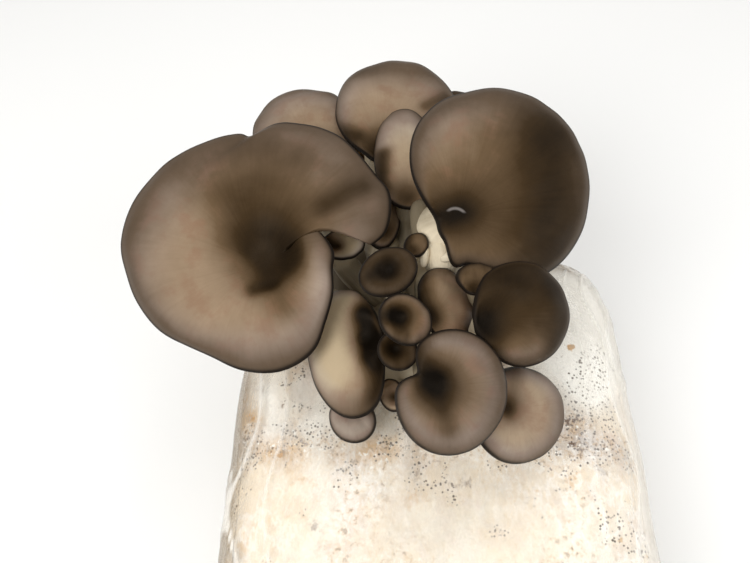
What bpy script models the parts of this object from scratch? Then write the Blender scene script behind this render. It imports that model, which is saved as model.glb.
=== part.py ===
"""Oyster mushroom grow bag: a block of white substrate in a film bag, lying on its back.

One cluster of mushrooms grows out of a cut in the upper face. Each mushroom is a
stem that leaves the cluster's base and a cap that sits on it. Metres, +Z up, with
the origin at the middle of the flat underside of the bag.
"""
from dataclasses import dataclass
from math import cos, pi, radians, sin

import bmesh
import bpy
import numpy as np
from mathutils import Matrix

GAP = 0.0003

# The bag and its block: a soft brick, flat where it lies.
BAG_HALF_WIDTH = 0.107
BAG_HALF_LENGTH = 0.127
BAG_THICKNESS = 0.112
BAG_SQUARENESS = 7.5
BAG_FLAT_SINK = 0.002
BAG_SEGMENTS = (6, 6, 4)
FILM_WALL = 0.0006
BLOCK_CLEARANCE = 0.0004

# The sealed end of the bag: a flat fin that stands out and droops.
FIN_HALF_WIDTH = 0.090
FIN_ROOT_Y = -0.117
FIN_LENGTH = 0.036
FIN_HEIGHT = 0.058
FIN_DROOP = 0.022
FIN_RIPPLE = 0.002
FIN_THICKNESS = 0.0016
FIN_COLUMNS = 7
FIN_ROWS = 3

# The base of the cluster, and the cut in the film that it grows through.
BASE_CENTRE = np.array([-0.008, 0.060, 0.119])
BASE_RADII = np.array([0.033, 0.031, 0.027])
BASE_SEGMENTS = 14
BASE_RINGS = 9
BASE_SWELL = 0.05
BASE_SWELL_WAVES = (5.0, 4.0)
BASE_SWELL_PHASE = 2.0
CUT_HALF_LENGTH = 0.0355
CUT_HALF_WIDTH = 0.0335
CUT_SEGMENTS = 20
CUT_DEPTH = 0.05

# Where the rings of a cap lie between its neck, 0, and its margin, 1.
TOP_RINGS = (0.0, 0.42, 0.78, 0.95)
UNDER_RINGS = (0.88, 0.42, 0.0)

# A cap's form. The bowl round its hub and the flesh at its neck grow with its size.
MARGIN_THICKNESS = 0.0016
NECK_THICKNESS = 0.0012
NECK_THICKNESS_BY_SIZE = 0.14
THINNING = 0.8
BOWL = 0.001
BOWL_BY_SIZE = 0.30
DROOP_BY_REACH = 1.5
DROOP_REACH_LIMIT = 1.2
NECK_BY_STEM = 1.55
NECK_BY_REACH = 0.72


@dataclass
class Mushroom:
    """One mushroom: lengths in metres, the cap's plane turned by its lean.

    A lobe is an angle and a width in degrees and, between them, the share by
    which the margin moves out there.
    """
    name: str
    hub: tuple
    lean: tuple
    middle: tuple
    half: tuple
    turn: float
    dish: float
    droop: float
    stem: float
    columns: int
    bow: tuple = (0.0, 0.0, 0.0)
    lobes: tuple = ()


@dataclass
class Head:
    """What a stem needs to know of its cap, in world coordinates."""
    name: str
    hub: tuple
    axes: tuple
    neck: np.ndarray
    pole: np.ndarray
    radius: float
    bow: tuple


MUSHROOMS = [
    Mushroom("large_right", (0.007, 0.086, 0.194), (0.10, -0.42), (0.024, 0.0205), (0.044, 0.0495),
             29, 0.006, 0.015, 0.0084, 22, (-0.005, 0.000, 0.000), ((188, -0.33, 38), (264, 0.36, 13))),
    Mushroom("back_middle", (-0.028, 0.142, 0.175), (0.00, -0.12), (0.010, 0.0275), (0.033, 0.037),
             14, 0.005, 0.010, 0.0058, 18, (-0.003, 0.000, 0.000), ((108, 0.10, 14),)),
    Mushroom("back_left", (-0.060, 0.149, 0.159), (-0.15, -0.12), (-0.011, 0.0225), (0.0265, 0.035),
             29, 0.005, 0.009, 0.0050, 16, (-0.008, 0.000, 0.000), ((150, 0.07, 15), (82, 0.08, 12))),
    Mushroom("spoon", (-0.014, 0.109, 0.178), (-0.15, -0.20), (-0.002, 0.024), (0.016, 0.030),
             5, 0.004, 0.006, 0.0036, 16, (-0.002, 0.000, 0.000)),
    Mushroom("behind_left", (-0.027, 0.097, 0.166), (0.15, -0.20), (-0.001, 0.0125), (0.010, 0.0215),
             0, 0.003, 0.005, 0.0030, 10),
    Mushroom("back_bud", (-0.040, 0.155, 0.148), (0.00, -0.10), (-0.002, 0.006), (0.008, 0.014),
             13, 0.002, 0.004, 0.0024, 10, (-0.003, 0.000, -0.004)),
    Mushroom("back_right", (0.012, 0.178, 0.158), (0.05, -0.10), (0.002, 0.008), (0.0145, 0.0185),
             -37, 0.003, 0.005, 0.0034, 10),
    Mushroom("button_top", (-0.025, 0.061, 0.186), (-0.05, -0.35), (0.000, -0.001), (0.0135, 0.0105),
             27, 0.005, 0.002, 0.0030, 10),
    Mushroom("button_middle", (-0.020, 0.038, 0.184), (0.10, -0.40), (0.002, -0.001), (0.0105, 0.012),
             53, 0.005, 0.002, 0.0030, 10),
    Mushroom("button_low", (-0.022, 0.030, 0.170), (0.00, -0.45), (0.001, -0.001), (0.0090, 0.0085),
             -43, 0.005, 0.001, 0.0026, 10),
    Mushroom("tongue", (-0.006, 0.041, 0.178), (0.25, -0.25), (0.0075, 0.0075), (0.0125, 0.018),
             8, 0.003, 0.006, 0.0034, 16, (0.001, 0.007, -0.001)),
    Mushroom("dark_right", (0.0165, 0.035, 0.186), (0.25, -0.35), (0.0195, 0.0055), (0.025, 0.023),
             32, 0.005, 0.009, 0.0044, 18, (0.008, -0.002, -0.003)),
    Mushroom("front", (-0.005, 0.004, 0.187), (0.05, -0.45), (0.006, -0.002), (0.023, 0.0255),
             -13, 0.006, 0.009, 0.0050, 18, lobes=((147, -0.42, 22),)),
    Mushroom("front_right", (0.028, 0.007, 0.156), (0.25, -0.40), (0.008, -0.003), (0.0225, 0.0205),
             22, 0.005, 0.008, 0.0044, 16),
    Mushroom("trough", (-0.035, 0.040, 0.160), (-0.28, -0.12), (-0.0105, -0.0035), (0.019, 0.032),
             11, 0.007, 0.008, 0.0042, 16),
    Mushroom("pale_low", (-0.042, 0.017, 0.135), (-0.10, -0.30), (0.000, -0.006), (0.0115, 0.0105),
             -42, 0.003, 0.004, 0.0030, 10),
    Mushroom("behind_right", (0.013, 0.051, 0.186), (0.16, -0.22), (0.000, 0.005), (0.0115, 0.009),
             0, 0.002, 0.003, 0.0028, 10, (0.010, 0.001, 0.000)),
    Mushroom("bud_by_stem", (-0.0125, 0.078, 0.177), (0.00, -0.30), (0.001, 0.003), (0.0055, 0.0065),
             -34, 0.002, 0.002, 0.0020, 10, (-0.003, -0.002, 0.000)),
    Mushroom("bud_low", (-0.022, 0.019, 0.141), (-0.10, -0.30), (-0.001, 0.001), (0.006, 0.008),
             20, 0.002, 0.002, 0.0022, 10),
    Mushroom("curl", (-0.049, 0.088, 0.166), (0.00, -0.30), (0.002, 0.000), (0.011, 0.0075),
             7, 0.004, 0.001, 0.0024, 10),
]

# The largest cap is a kidney with a cleft toward the cluster: its margin is given as
# angle in degrees and reach in millimetres, from the upper lip of the cleft round to
# the lower one.
KIDNEY_HUB = (-0.084, 0.070, 0.178)
KIDNEY_LEAN = (-0.14, -0.32)
KIDNEY_MARGIN = [
    (9, 51), (14, 58), (22, 64), (31, 68), (42, 68), (52, 70), (64, 73), (77, 73), (87, 72), (97, 66),
    (103, 69), (119, 72), (135, 75), (152, 75), (167, 72), (180, 68), (194, 63), (211, 57), (228, 51),
    (244, 48), (262, 50), (281, 50), (300, 48), (317, 42), (335, 38), (350, 35), (363, 35), (379, 31),
]
KIDNEY_CLEFT_ANGLE = 22.0
KIDNEY_NECK = 0.013
KIDNEY_STEM = 0.0090
KIDNEY_BOW = (0.0, 0.004, -0.010)
KIDNEY_DISH = 0.011
KIDNEY_DROOP = 0.010
KIDNEY_SIZE = 0.050
KIDNEY_LOWER_LIFT = 0.006
KIDNEY_UPPER_FALL = 0.003
KIDNEY_SLOT_ANGLE = 1.5
KIDNEY_SLOT_RUN = 0.20
KIDNEY_SWING_START = 0.35
KIDNEY_LOWER_LIP = 0.75
KIDNEY_UPPER_LIP = 0.20
KIDNEY_LIP_RUN = 0.625
KIDNEY_COLUMNS = 34
KIDNEY_STEM_COLUMNS = 18
KIDNEY_RINGS = (0.0, 0.30, 0.60, 0.85, 0.96)

# The stems: how they leave the base and keep clear of each other.
STEM_STEPS = (0.0, 0.30, 0.56, 0.80, 1.0)
LONG_STEM = 0.060
LONG_STEM_STEPS = (0.0, 0.24, 0.46, 0.66, 0.84, 1.0)
STEM_CLEARANCE = 0.0020
START_DEPTH = 0.50
START_LOWEST = 0.12
PUSH_ROUNDS = 300
CAP_PULL = 0.5
UPWARD = np.array([0.0, 0.0, 1.0])
FOOT_SWELL = 0.22
START_FLATTENING = np.array([1.0, 1.0, 0.8])
START_PUSH = 0.3
START_PULL = 0.01
STEM_PUSH = 0.12
STEM_PUSH_STEPS = np.linspace(0.26, 0.90, 11)
LEAVE_SHARE = 0.45
ARRIVE_SHARE = 0.40
FLARE_POWER = 6
FLARE_ROOM = 0.5


def clear_scene():
    """Remove every object the file opened with."""
    for item in list(bpy.data.objects):
        bpy.data.objects.remove(item, do_unlink=True)


def new_collection(name):
    """A collection under the scene's own."""
    made = bpy.data.collections.new(name)
    bpy.context.scene.collection.children.link(made)
    return made


def new_material(name, colour, roughness, metallic=0.0):
    """A Principled material of one colour."""
    made = bpy.data.materials.new(name)
    made.use_nodes = True
    shader = made.node_tree.nodes["Principled BSDF"]
    shader.inputs["Base Color"].default_value = (*colour, 1.0)
    shader.inputs["Roughness"].default_value = roughness
    shader.inputs["Metallic"].default_value = metallic
    return made


def add_object(name, mesh, collection, material=None):
    """An object of a mesh, in a collection, with one material."""
    made = bpy.data.objects.new(name, mesh)
    collection.objects.link(made)
    if material is not None:
        mesh.materials.append(material)
    return made


def finish_mesh(name, bm):
    """A mesh of a bmesh whose faces are turned outward."""
    bmesh.ops.recalc_face_normals(bm, faces=bm.faces)
    mesh = bpy.data.meshes.new(name)
    bm.to_mesh(mesh)
    bm.free()
    return mesh


def unit(vector):
    """Vectors of length one along the last axis."""
    vector = np.asarray(vector, float)
    return vector / np.linalg.norm(vector, axis=-1, keepdims=True)


def smooth(value):
    """Smooth step from 0 to 1."""
    value = np.clip(value, 0.0, 1.0)
    return value * value * (3.0 - 2.0 * value)


def body_of_rings(name, first, rings, last):
    """A closed mesh through rings of equal length, with a point at each end."""
    count, around = rings.shape[:2]
    points = np.vstack([first[None], rings.reshape(-1, 3), last[None]])
    faces = []
    for column in range(around):
        after = (column + 1) % around
        faces.append((0, 1 + column, 1 + after))
        for ring in range(count - 1):
            low = 1 + ring * around
            high = low + around
            faces.append((low + column, high + column, high + after, low + after))
        top = 1 + (count - 1) * around
        faces.append((top + column, len(points) - 1, top + after))
    mesh = bpy.data.meshes.new(name)
    mesh.from_pydata(points.tolist(), [], faces)
    bm = bmesh.new()
    bm.from_mesh(mesh)
    bpy.data.meshes.remove(mesh)
    return finish_mesh(name, bm)


def boolean(item, cutter, operation):
    """An exact Boolean of an object with a cutter, kept as a modifier."""
    step = item.modifiers.new(operation.lower(), "BOOLEAN")
    step.operation = operation
    step.solver = "EXACT"
    step.object = cutter


def as_cutter(item):
    """Mark an object as one that only cuts."""
    item.hide_render = True
    item.display_type = "WIRE"
    return item


def brick_mesh(name, inset):
    """The soft brick of the bag, its walls moved in by an inset.

    A cube is divided, its points crowd toward its edges, and each is drawn to the
    surface where the sum of the powers of x, y and z is one.
    """
    bm = bmesh.new()
    bmesh.ops.create_cube(bm, size=2.0)
    for axis, segments in enumerate(BAG_SEGMENTS):
        along = [edge for edge in bm.edges
                 if abs(edge.verts[0].co[axis] - edge.verts[1].co[axis]) > 1.0]
        bmesh.ops.subdivide_edges(bm, edges=along, cuts=segments - 1, use_grid_fill=True)
    half_height = (BAG_THICKNESS + BAG_FLAT_SINK) / 2
    for vertex in bm.verts:
        crowded = [sin(value * pi / 2) for value in vertex.co]
        power = sum(abs(value) ** BAG_SQUARENESS for value in crowded) ** (1 / BAG_SQUARENESS)
        x, y, z = (value / power for value in crowded)
        height = max((z + 1.0) * half_height - BAG_FLAT_SINK, 0.0)
        vertex.co = (x * BAG_HALF_WIDTH, y * BAG_HALF_LENGTH, height)
    bm.normal_update()
    moved = [vertex.co - vertex.normal * inset for vertex in bm.verts]
    for vertex, place in zip(bm.verts, moved):
        vertex.co = place
    bmesh.ops.triangulate(bm, faces=bm.faces, quad_method="FIXED")
    return finish_mesh(name, bm)


def fin_mesh(name):
    """The flat sealed fin: a thin sheet that droops more the further it stands out."""
    across = np.linspace(-FIN_HALF_WIDTH, FIN_HALF_WIDTH, FIN_COLUMNS)
    out = np.linspace(0.0, 1.0, FIN_ROWS)
    x, t = np.meshgrid(across, out)
    y = FIN_ROOT_Y - FIN_LENGTH * t
    z = FIN_HEIGHT - FIN_DROOP * t ** 2 + FIN_RIPPLE * t * np.cos(x / FIN_HALF_WIDTH * 2 * pi)
    bm = bmesh.new()
    rows = [[bm.verts.new(point) for point in zip(*row)] for row in zip(x, y, z)]
    for near, far in zip(rows, rows[1:]):
        for column in range(FIN_COLUMNS - 1):
            bm.faces.new((near[column], near[column + 1], far[column + 1], far[column]))
    mesh = bpy.data.meshes.new(name)
    bm.to_mesh(mesh)
    bm.free()
    return mesh


def cut_mesh(name):
    """The oval plug that the cut in the film is made with."""
    bm = bmesh.new()
    bmesh.ops.create_cone(bm, cap_ends=True, segments=CUT_SEGMENTS, radius1=1.0, radius2=1.0, depth=CUT_DEPTH)
    bmesh.ops.scale(bm, verts=bm.verts, vec=(CUT_HALF_LENGTH, CUT_HALF_WIDTH, 1.0))
    bmesh.ops.translate(bm, verts=bm.verts, vec=(BASE_CENTRE[0], BASE_CENTRE[1], BAG_THICKNESS))
    return finish_mesh(name, bm)


def base_mesh(name, grow):
    """The lumpy base of the cluster, a sphere with low swellings, grown by a distance."""
    bm = bmesh.new()
    bmesh.ops.create_uvsphere(bm, u_segments=BASE_SEGMENTS, v_segments=BASE_RINGS, radius=1.0)
    for vertex in bm.verts:
        x, y, z = vertex.co
        wave = sin(BASE_SWELL_WAVES[0] * x + BASE_SWELL_PHASE) * cos(BASE_SWELL_WAVES[1] * y)
        radii = BASE_RADII * (1.0 + BASE_SWELL * wave * (1.0 - z * z)) + grow
        vertex.co = BASE_CENTRE + radii * np.array(vertex.co)
    return finish_mesh(name, bm)


def cap_frame(lean):
    """The cap's own axes: along +X, along +Y, and its normal."""
    normal = unit((lean[0], lean[1], 1.0))
    along = unit(np.array([1.0, 0.0, 0.0]) - normal[0] * normal)
    return along, np.cross(normal, along), normal


def to_world(hub, axes, local):
    """Points in a cap's plane to world points."""
    along, across, normal = axes
    return np.array(hub) + local[..., :1] * along + local[..., 1:2] * across + local[..., 2:] * normal


def margin_reach(mushroom, angle):
    """How far the margin lies from the hub in each direction.

    The margin is an ellipse whose middle is off the hub, so the reach is the
    positive root of the ray's quadratic. Lobes then push it out or in.
    """
    turn = radians(mushroom.turn)
    a, b = mushroom.half
    ray = np.stack([np.cos(angle - turn) / a, np.sin(angle - turn) / b], axis=-1)
    mx, my = mushroom.middle
    middle = np.array([(mx * cos(turn) + my * sin(turn)) / a, (my * cos(turn) - mx * sin(turn)) / b])
    square = (ray ** 2).sum(-1)
    cross = ray @ middle
    reach = (cross + np.sqrt(cross ** 2 + square * (1.0 - middle @ middle))) / square
    for centre, share, width in mushroom.lobes:
        off = (np.degrees(angle) - centre + 180.0) % 360.0 - 180.0
        reach = reach * (1.0 + share * np.exp(-(off / width) ** 2))
    return reach


def cap_height(size, dish, droop, reach, distance, t):
    """Height over the hub: a dish round the hub, then a margin that turns down.

    Where the hub is close to the margin there is less cap to turn down.
    """
    bowl = BOWL_BY_SIZE * size + BOWL
    fall = droop * np.minimum(reach / size, DROOP_REACH_LIMIT) ** DROOP_BY_REACH
    return dish * (1.0 - np.exp(-(distance / bowl) ** 2)) - fall * t ** 3


def cap_thickness(size, t):
    """Flesh that thins from the neck to the margin."""
    neck = NECK_THICKNESS_BY_SIZE * size + NECK_THICKNESS
    return MARGIN_THICKNESS + (neck - MARGIN_THICKNESS) * (1.0 - t) ** THINNING


def neck_reach(mushroom, reach):
    """How far from the hub the stem flares into the cap: a circle, drawn in where the margin is near."""
    return np.minimum(NECK_BY_STEM * mushroom.stem, NECK_BY_REACH * reach)


def cap_rings(mushroom):
    """Rings of a cap from its hub over the margin to its neck, in its own plane."""
    angle = np.linspace(0.0, 2 * pi, mushroom.columns, endpoint=False)
    reach = margin_reach(mushroom, angle)
    neck = neck_reach(mushroom, reach)
    size = sum(mushroom.half) / 2
    rings = []
    for t, side in [(t, 0.0) for t in TOP_RINGS] + [(1.0, 0.5)] + [(t, 1.0) for t in UNDER_RINGS]:
        distance = neck + (reach - neck) * t
        height = cap_height(size, mushroom.dish, mushroom.droop, reach, distance, t)
        height = height - side * cap_thickness(size, t)
        rings.append(np.stack([distance * np.cos(angle), distance * np.sin(angle), height], axis=-1))
    first = np.zeros(3)
    last = first - np.array([0.0, 0.0, cap_thickness(size, 0.0)])
    return first, np.array(rings), last


def kidney_surface(columns, fractions, side):
    """Rings of the largest cap, open at the cleft, in its own plane.

    The rays are an even fan up to the lower lip's corner. Further out they swing to
    the margin's own angles, so the upper lip sweeps round the bud in the cleft.
    """
    turn = np.linspace(0.0, 1.0, columns + 1)
    knots = np.arange(len(KIDNEY_MARGIN))
    angles, reaches = np.array(KIDNEY_MARGIN, float).T
    place = turn * knots[-1]
    end_angle = np.radians(np.interp(place, knots, angles))
    reach = np.interp(place, knots, reaches) / 1000
    lift = KIDNEY_LOWER_LIFT * smooth((turn - KIDNEY_LOWER_LIP) / (1.0 - KIDNEY_LOWER_LIP))
    lips = lift - KIDNEY_UPPER_FALL * smooth((KIDNEY_UPPER_LIP - turn) / KIDNEY_UPPER_LIP)
    rings = []
    for t in fractions:
        slot = radians(KIDNEY_SLOT_ANGLE) * smooth(t / KIDNEY_SLOT_RUN)
        even = radians(KIDNEY_CLEFT_ANGLE) + slot + (2 * pi - 2 * slot) * turn
        angle = even + (end_angle - even) * smooth((t - KIDNEY_SWING_START) / (1.0 - KIDNEY_SWING_START))
        distance = KIDNEY_NECK + (reach - KIDNEY_NECK) * t
        height = cap_height(KIDNEY_SIZE, KIDNEY_DISH, KIDNEY_DROOP, reach, distance, t)
        height = height + lips * smooth(t / KIDNEY_LIP_RUN) - side * cap_thickness(KIDNEY_SIZE, t)
        rings.append(np.stack([distance * np.cos(angle), distance * np.sin(angle), height], axis=-1))
    return np.array(rings)


def kidney_mesh(name):
    """The largest cap: its neck is a whole disc, and the cleft parts it beyond."""
    top = kidney_surface(KIDNEY_COLUMNS, KIDNEY_RINGS, 0.0)
    edge = kidney_surface(KIDNEY_COLUMNS, (1.0,), 0.5)
    under = kidney_surface(KIDNEY_COLUMNS, KIDNEY_RINGS[::-1], 1.0)
    depth = np.array([0.0, 0.0, cap_thickness(KIDNEY_SIZE, 0.0)])
    axes = cap_frame(KIDNEY_LEAN)
    hub, foot = to_world(KIDNEY_HUB, axes, np.array([0.0 * depth, -depth]))
    rings = to_world(KIDNEY_HUB, axes, np.concatenate([top, edge, under]))
    bm = bmesh.new()
    hub = bm.verts.new(hub)
    foot = bm.verts.new(foot)
    grid = [[bm.verts.new(point) for point in ring] for ring in rings]
    for column in range(KIDNEY_COLUMNS):
        bm.faces.new((hub, grid[0][column], grid[0][column + 1]))
        bm.faces.new((foot, grid[-1][column + 1], grid[-1][column]))
        for near, far in zip(grid, grid[1:]):
            bm.faces.new((near[column], far[column], far[column + 1], near[column + 1]))
    half = len(KIDNEY_RINGS)
    for column in (0, KIDNEY_COLUMNS):
        upper = [ring[column] for ring in grid[:half]]
        lower = [ring[column] for ring in grid[:half:-1]]
        for near, far in zip(zip(upper, lower), zip(upper[1:], lower[1:])):
            bm.faces.new((near[0], far[0], far[1], near[1]))
        bm.faces.new((upper[-1], grid[half][column], lower[-1]))
    seam = [grid[ring][column] for ring in (0, -1) for column in (0, -1)]
    bmesh.ops.remove_doubles(bm, verts=seam, dist=1e-6)
    return finish_mesh(name, bm)


def cap_mesh(name, mushroom):
    """One of the round caps."""
    axes = cap_frame(mushroom.lean)
    first, rings, last = (to_world(mushroom.hub, axes, part) for part in cap_rings(mushroom))
    return body_of_rings(name, first, rings, last)


def bezier_weights(steps):
    """Weights of the four control points at steps along a Bezier curve."""
    s = np.asarray(steps, float)[:, None]
    return np.hstack([(1 - s) ** 3, 3 * s * (1 - s) ** 2, 3 * s ** 2 * (1 - s), s ** 3])


def bezier_slopes(steps):
    """Weights of the four control points in the curve's direction."""
    s = np.asarray(steps, float)[:, None]
    return np.hstack([-(1 - s) ** 2, (1 - s) * (1 - 3 * s), s * (2 - 3 * s), s ** 2])


def part_starts(aims, radii):
    """Directions in which the stems leave the base: toward their caps, pushed apart."""
    starts = aims.copy()
    feet = radii * (1.0 + FOOT_SWELL)
    need = (feet[:, None] + feet[None, :] + STEM_CLEARANCE) / BASE_RADII.mean()
    for _ in range(PUSH_ROUNDS):
        away = starts[:, None] - starts[None, :]
        distance = np.linalg.norm(away, axis=-1) + 1e-9
        push = np.clip(need - distance, 0.0, None) / distance
        np.fill_diagonal(push, 0.0)
        starts = starts + START_PUSH * (away * push[..., None]).sum(1) + START_PULL * (aims - starts)
        starts[:, 2] = np.maximum(starts[:, 2], START_LOWEST)
        starts = unit(starts)
    return starts


def part_stems(control, radii):
    """Bend the stems away from each other where two would touch."""
    steps = STEM_PUSH_STEPS
    weights = bezier_weights(steps)
    count = len(control)
    owner = np.repeat(np.arange(count), len(steps))
    thick = radii[:, None] * (1.0 + FOOT_SWELL * (1.0 - steps) + FLARE_ROOM * steps ** FLARE_POWER)
    thick = thick.ravel()
    need = thick[:, None] + thick[None, :] + STEM_CLEARANCE
    need[owner[:, None] == owner[None, :]] = 0.0
    for _ in range(PUSH_ROUNDS):
        line = np.einsum("sc,ncx->nsx", weights, control).reshape(-1, 3)
        away = line[:, None] - line[None, :]
        distance = np.linalg.norm(away, axis=-1) + 1e-9
        push = np.clip(need - distance, 0.0, None) / distance
        shift = (away * push[..., None]).sum(1).reshape(count, len(steps), 3)
        bend = np.einsum("sc,nsx->ncx", weights, shift)
        control[:, 1:3] += STEM_PUSH * bend[:, 1:3]
    return control


def stem_controls(hubs, normals, roots, radii, bows):
    """Bezier control points of all stems, from inside the base to under each cap."""
    aims = unit(hubs - BASE_CENTRE)
    starts = part_starts(unit(aims * START_FLATTENING), radii)
    first = BASE_CENTRE + START_DEPTH * BASE_RADII * starts
    reach = np.linalg.norm(roots - first, axis=1, keepdims=True)
    leave = first + starts * reach * LEAVE_SHARE
    arrive = roots - unit(normals * CAP_PULL + UPWARD) * reach * ARRIVE_SHARE
    return part_stems(np.stack([first, leave + bows, arrive + bows, roots], axis=1), radii)


def stem_rings(control, radius, neck_ring, axes):
    """Rings of a stem, the last of them the cap's neck moved down by the gap.

    Each ring's axes are turned from the next one's by the least turn that follows
    the curve, starting at the cap.
    """
    long = np.linalg.norm(control[3] - control[0]) > LONG_STEM
    steps = LONG_STEM_STEPS if long else STEM_STEPS
    centres = bezier_weights(steps) @ control
    tangents = unit(bezier_slopes(steps) @ control)
    along, across, normal = axes
    angle = np.linspace(0.0, 2 * pi, len(neck_ring), endpoint=False)[:, None]
    neck = np.linalg.norm(neck_ring - neck_ring.mean(0), axis=1).mean()
    rings = [neck_ring]
    before = normal
    for centre, tangent, s in list(zip(centres, tangents, steps))[-2::-1]:
        axis = np.cross(before, tangent)
        least = np.arctan2(np.linalg.norm(axis), before @ tangent)
        turn = np.array(Matrix.Rotation(least, 3, axis.tolist()))
        along, across, before = turn @ along, turn @ across, tangent
        thick = radius * (1.0 + FOOT_SWELL * (1.0 - s)) + (neck - radius) * s ** FLARE_POWER
        rings.append(centre + thick * (np.cos(angle) * along + np.sin(angle) * across))
    return np.array(rings[::-1])


def heads():
    """What the stems need to know of every cap."""
    found = []
    for mushroom in MUSHROOMS:
        axes = cap_frame(mushroom.lean)
        _, rings, last = (to_world(mushroom.hub, axes, part) for part in cap_rings(mushroom))
        found.append(Head(mushroom.name, mushroom.hub, axes, rings[-1], last, mushroom.stem, mushroom.bow))
    axes = cap_frame(KIDNEY_LEAN)
    ring = to_world(KIDNEY_HUB, axes, kidney_surface(KIDNEY_STEM_COLUMNS, (0.0,), 1.0)[0][:-1])
    pole = np.array(KIDNEY_HUB) - axes[2] * cap_thickness(KIDNEY_SIZE, 0.0)
    found.append(Head("large_left", KIDNEY_HUB, axes, ring, pole, KIDNEY_STEM, KIDNEY_BOW))
    return found


def build_bag(parts, cutters):
    """The film bag with its fin and its cut, and the block inside it."""
    film = new_material("film", (0.86, 0.84, 0.80), 0.25)
    block = new_material("substrate", (0.80, 0.74, 0.64), 0.85)
    cavity = as_cutter(add_object("cavity", brick_mesh("cavity", FILM_WALL), cutters))
    opening = as_cutter(add_object("opening", cut_mesh("opening"), cutters))
    fin = as_cutter(add_object("fin", fin_mesh("fin"), cutters))
    wall = fin.modifiers.new("wall", "SOLIDIFY")
    wall.thickness = FIN_THICKNESS
    wall.offset = 0.0
    bag = add_object("bag", brick_mesh("bag", 0.0), parts, film)
    boolean(bag, fin, "UNION")
    boolean(bag, cavity, "DIFFERENCE")
    boolean(bag, opening, "DIFFERENCE")
    add_object("substrate_block", brick_mesh("substrate_block", FILM_WALL + BLOCK_CLEARANCE), parts, block)
    return cavity


def build_cluster(parts, cutters, cavity):
    """The base, the stems and the caps."""
    flesh = new_material("flesh", (0.78, 0.72, 0.60), 0.6)
    skin = new_material("cap_skin", (0.28, 0.22, 0.16), 0.55)
    base = add_object("cluster_base", base_mesh("cluster_base", 0.0), parts, flesh)
    boolean(base, cavity, "DIFFERENCE")
    grown = as_cutter(add_object("grown_base", base_mesh("grown_base", GAP), cutters))
    found = heads()
    normals = np.array([head.axes[2] for head in found])
    roots = np.array([head.pole for head in found]) - normals * GAP
    radii = np.array([head.radius for head in found])
    bows = np.array([head.bow for head in found])
    hubs = np.array([head.hub for head in found])
    controls = stem_controls(hubs, normals, roots, radii, bows)
    for head, control, root in zip(found, controls, roots):
        neck = head.neck - head.axes[2] * GAP
        name = "stem_" + head.name
        rings = stem_rings(control, head.radius, neck, head.axes)
        stem = add_object(name, body_of_rings(name, control[0], rings, root), parts, flesh)
        boolean(stem, grown, "DIFFERENCE")
    for mushroom in MUSHROOMS:
        name = "cap_" + mushroom.name
        add_object(name, cap_mesh(name, mushroom), parts, skin)
    add_object("cap_large_left", kidney_mesh("cap_large_left"), parts, skin)


def main():
    """Build the whole object."""
    clear_scene()
    parts = new_collection("Mushroom grow bag")
    cutters = new_collection("Cutters")
    cavity = build_bag(parts, cutters)
    build_cluster(parts, cutters, cavity)


main()
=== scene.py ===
"""Oyster mushroom grow bag: the finish of every surface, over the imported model.

Each mushroom is drawn again from the sizes that its solid has, on a finer grid, with
gills under its cap and ridges down its stem. The bag is a creased film round a block
of white mycelium. Metres, +Z up, with the origin under the middle of the bag.
"""

from dataclasses import dataclass
from math import cos, pi, radians, sin

import bpy
import numpy as np
from bpy.props import FloatProperty, FloatVectorProperty, IntProperty, PointerProperty
from bpy.types import Operator, Panel, PropertyGroup
from mathutils import Matrix, Vector


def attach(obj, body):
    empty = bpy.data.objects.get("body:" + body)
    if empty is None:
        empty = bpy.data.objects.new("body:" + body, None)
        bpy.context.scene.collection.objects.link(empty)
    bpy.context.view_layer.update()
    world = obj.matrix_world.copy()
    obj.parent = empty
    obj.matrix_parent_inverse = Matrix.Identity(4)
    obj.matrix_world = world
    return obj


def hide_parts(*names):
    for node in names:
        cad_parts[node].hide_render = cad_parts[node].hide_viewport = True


bl_info = {
    "name": "Mushroom grow bag",
    "version": (1, 0, 0),
    "blender": (4, 5, 0),
    "location": "3D View > Sidebar > Grow bag",
    "description": "Builds the finish of an oyster mushroom grow bag over its packed model",
    "category": "Object",
}

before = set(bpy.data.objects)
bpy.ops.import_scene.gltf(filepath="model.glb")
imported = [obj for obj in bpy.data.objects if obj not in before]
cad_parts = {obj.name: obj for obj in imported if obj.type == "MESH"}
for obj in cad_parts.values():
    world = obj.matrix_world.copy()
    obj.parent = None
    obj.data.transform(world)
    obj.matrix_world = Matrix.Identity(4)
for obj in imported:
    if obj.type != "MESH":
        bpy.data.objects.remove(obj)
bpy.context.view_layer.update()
WELD = 1e-7

# The bag and its block: a soft brick, flat where it lies.
HALF_WIDTH = 0.107
HALF_LENGTH = 0.127
THICKNESS = 0.112
SQUARENESS = 7.5
FLAT_SINK = 0.002
BLOCK_INSET = 0.0022
TAPER = 0.040
TAPER_START = -0.02
TAPER_RUN = 0.12
FIN_HALF_WIDTH = 0.090
FIN_ROOT_Y = -0.119
FIN_LENGTH = 0.034
FIN_HEIGHT = 0.058
FIN_DROOP = 0.022
PLEAT_HEIGHT = 0.0011
SEAL_PLACE = 0.82
SEAL_WIDTH = 0.05

# How fine the grids are: columns along each side with the rows on top, down the sides
# and under, or else columns and rows.
BLOCK_GRID = (64, (44, 26, 20))
FILM_GRID = (70, (56, 30, 14))
FIN_GRID = (121, 26)
BASE_GRID = (161, 91)
LUMP_GRID = (49, 37)

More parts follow.
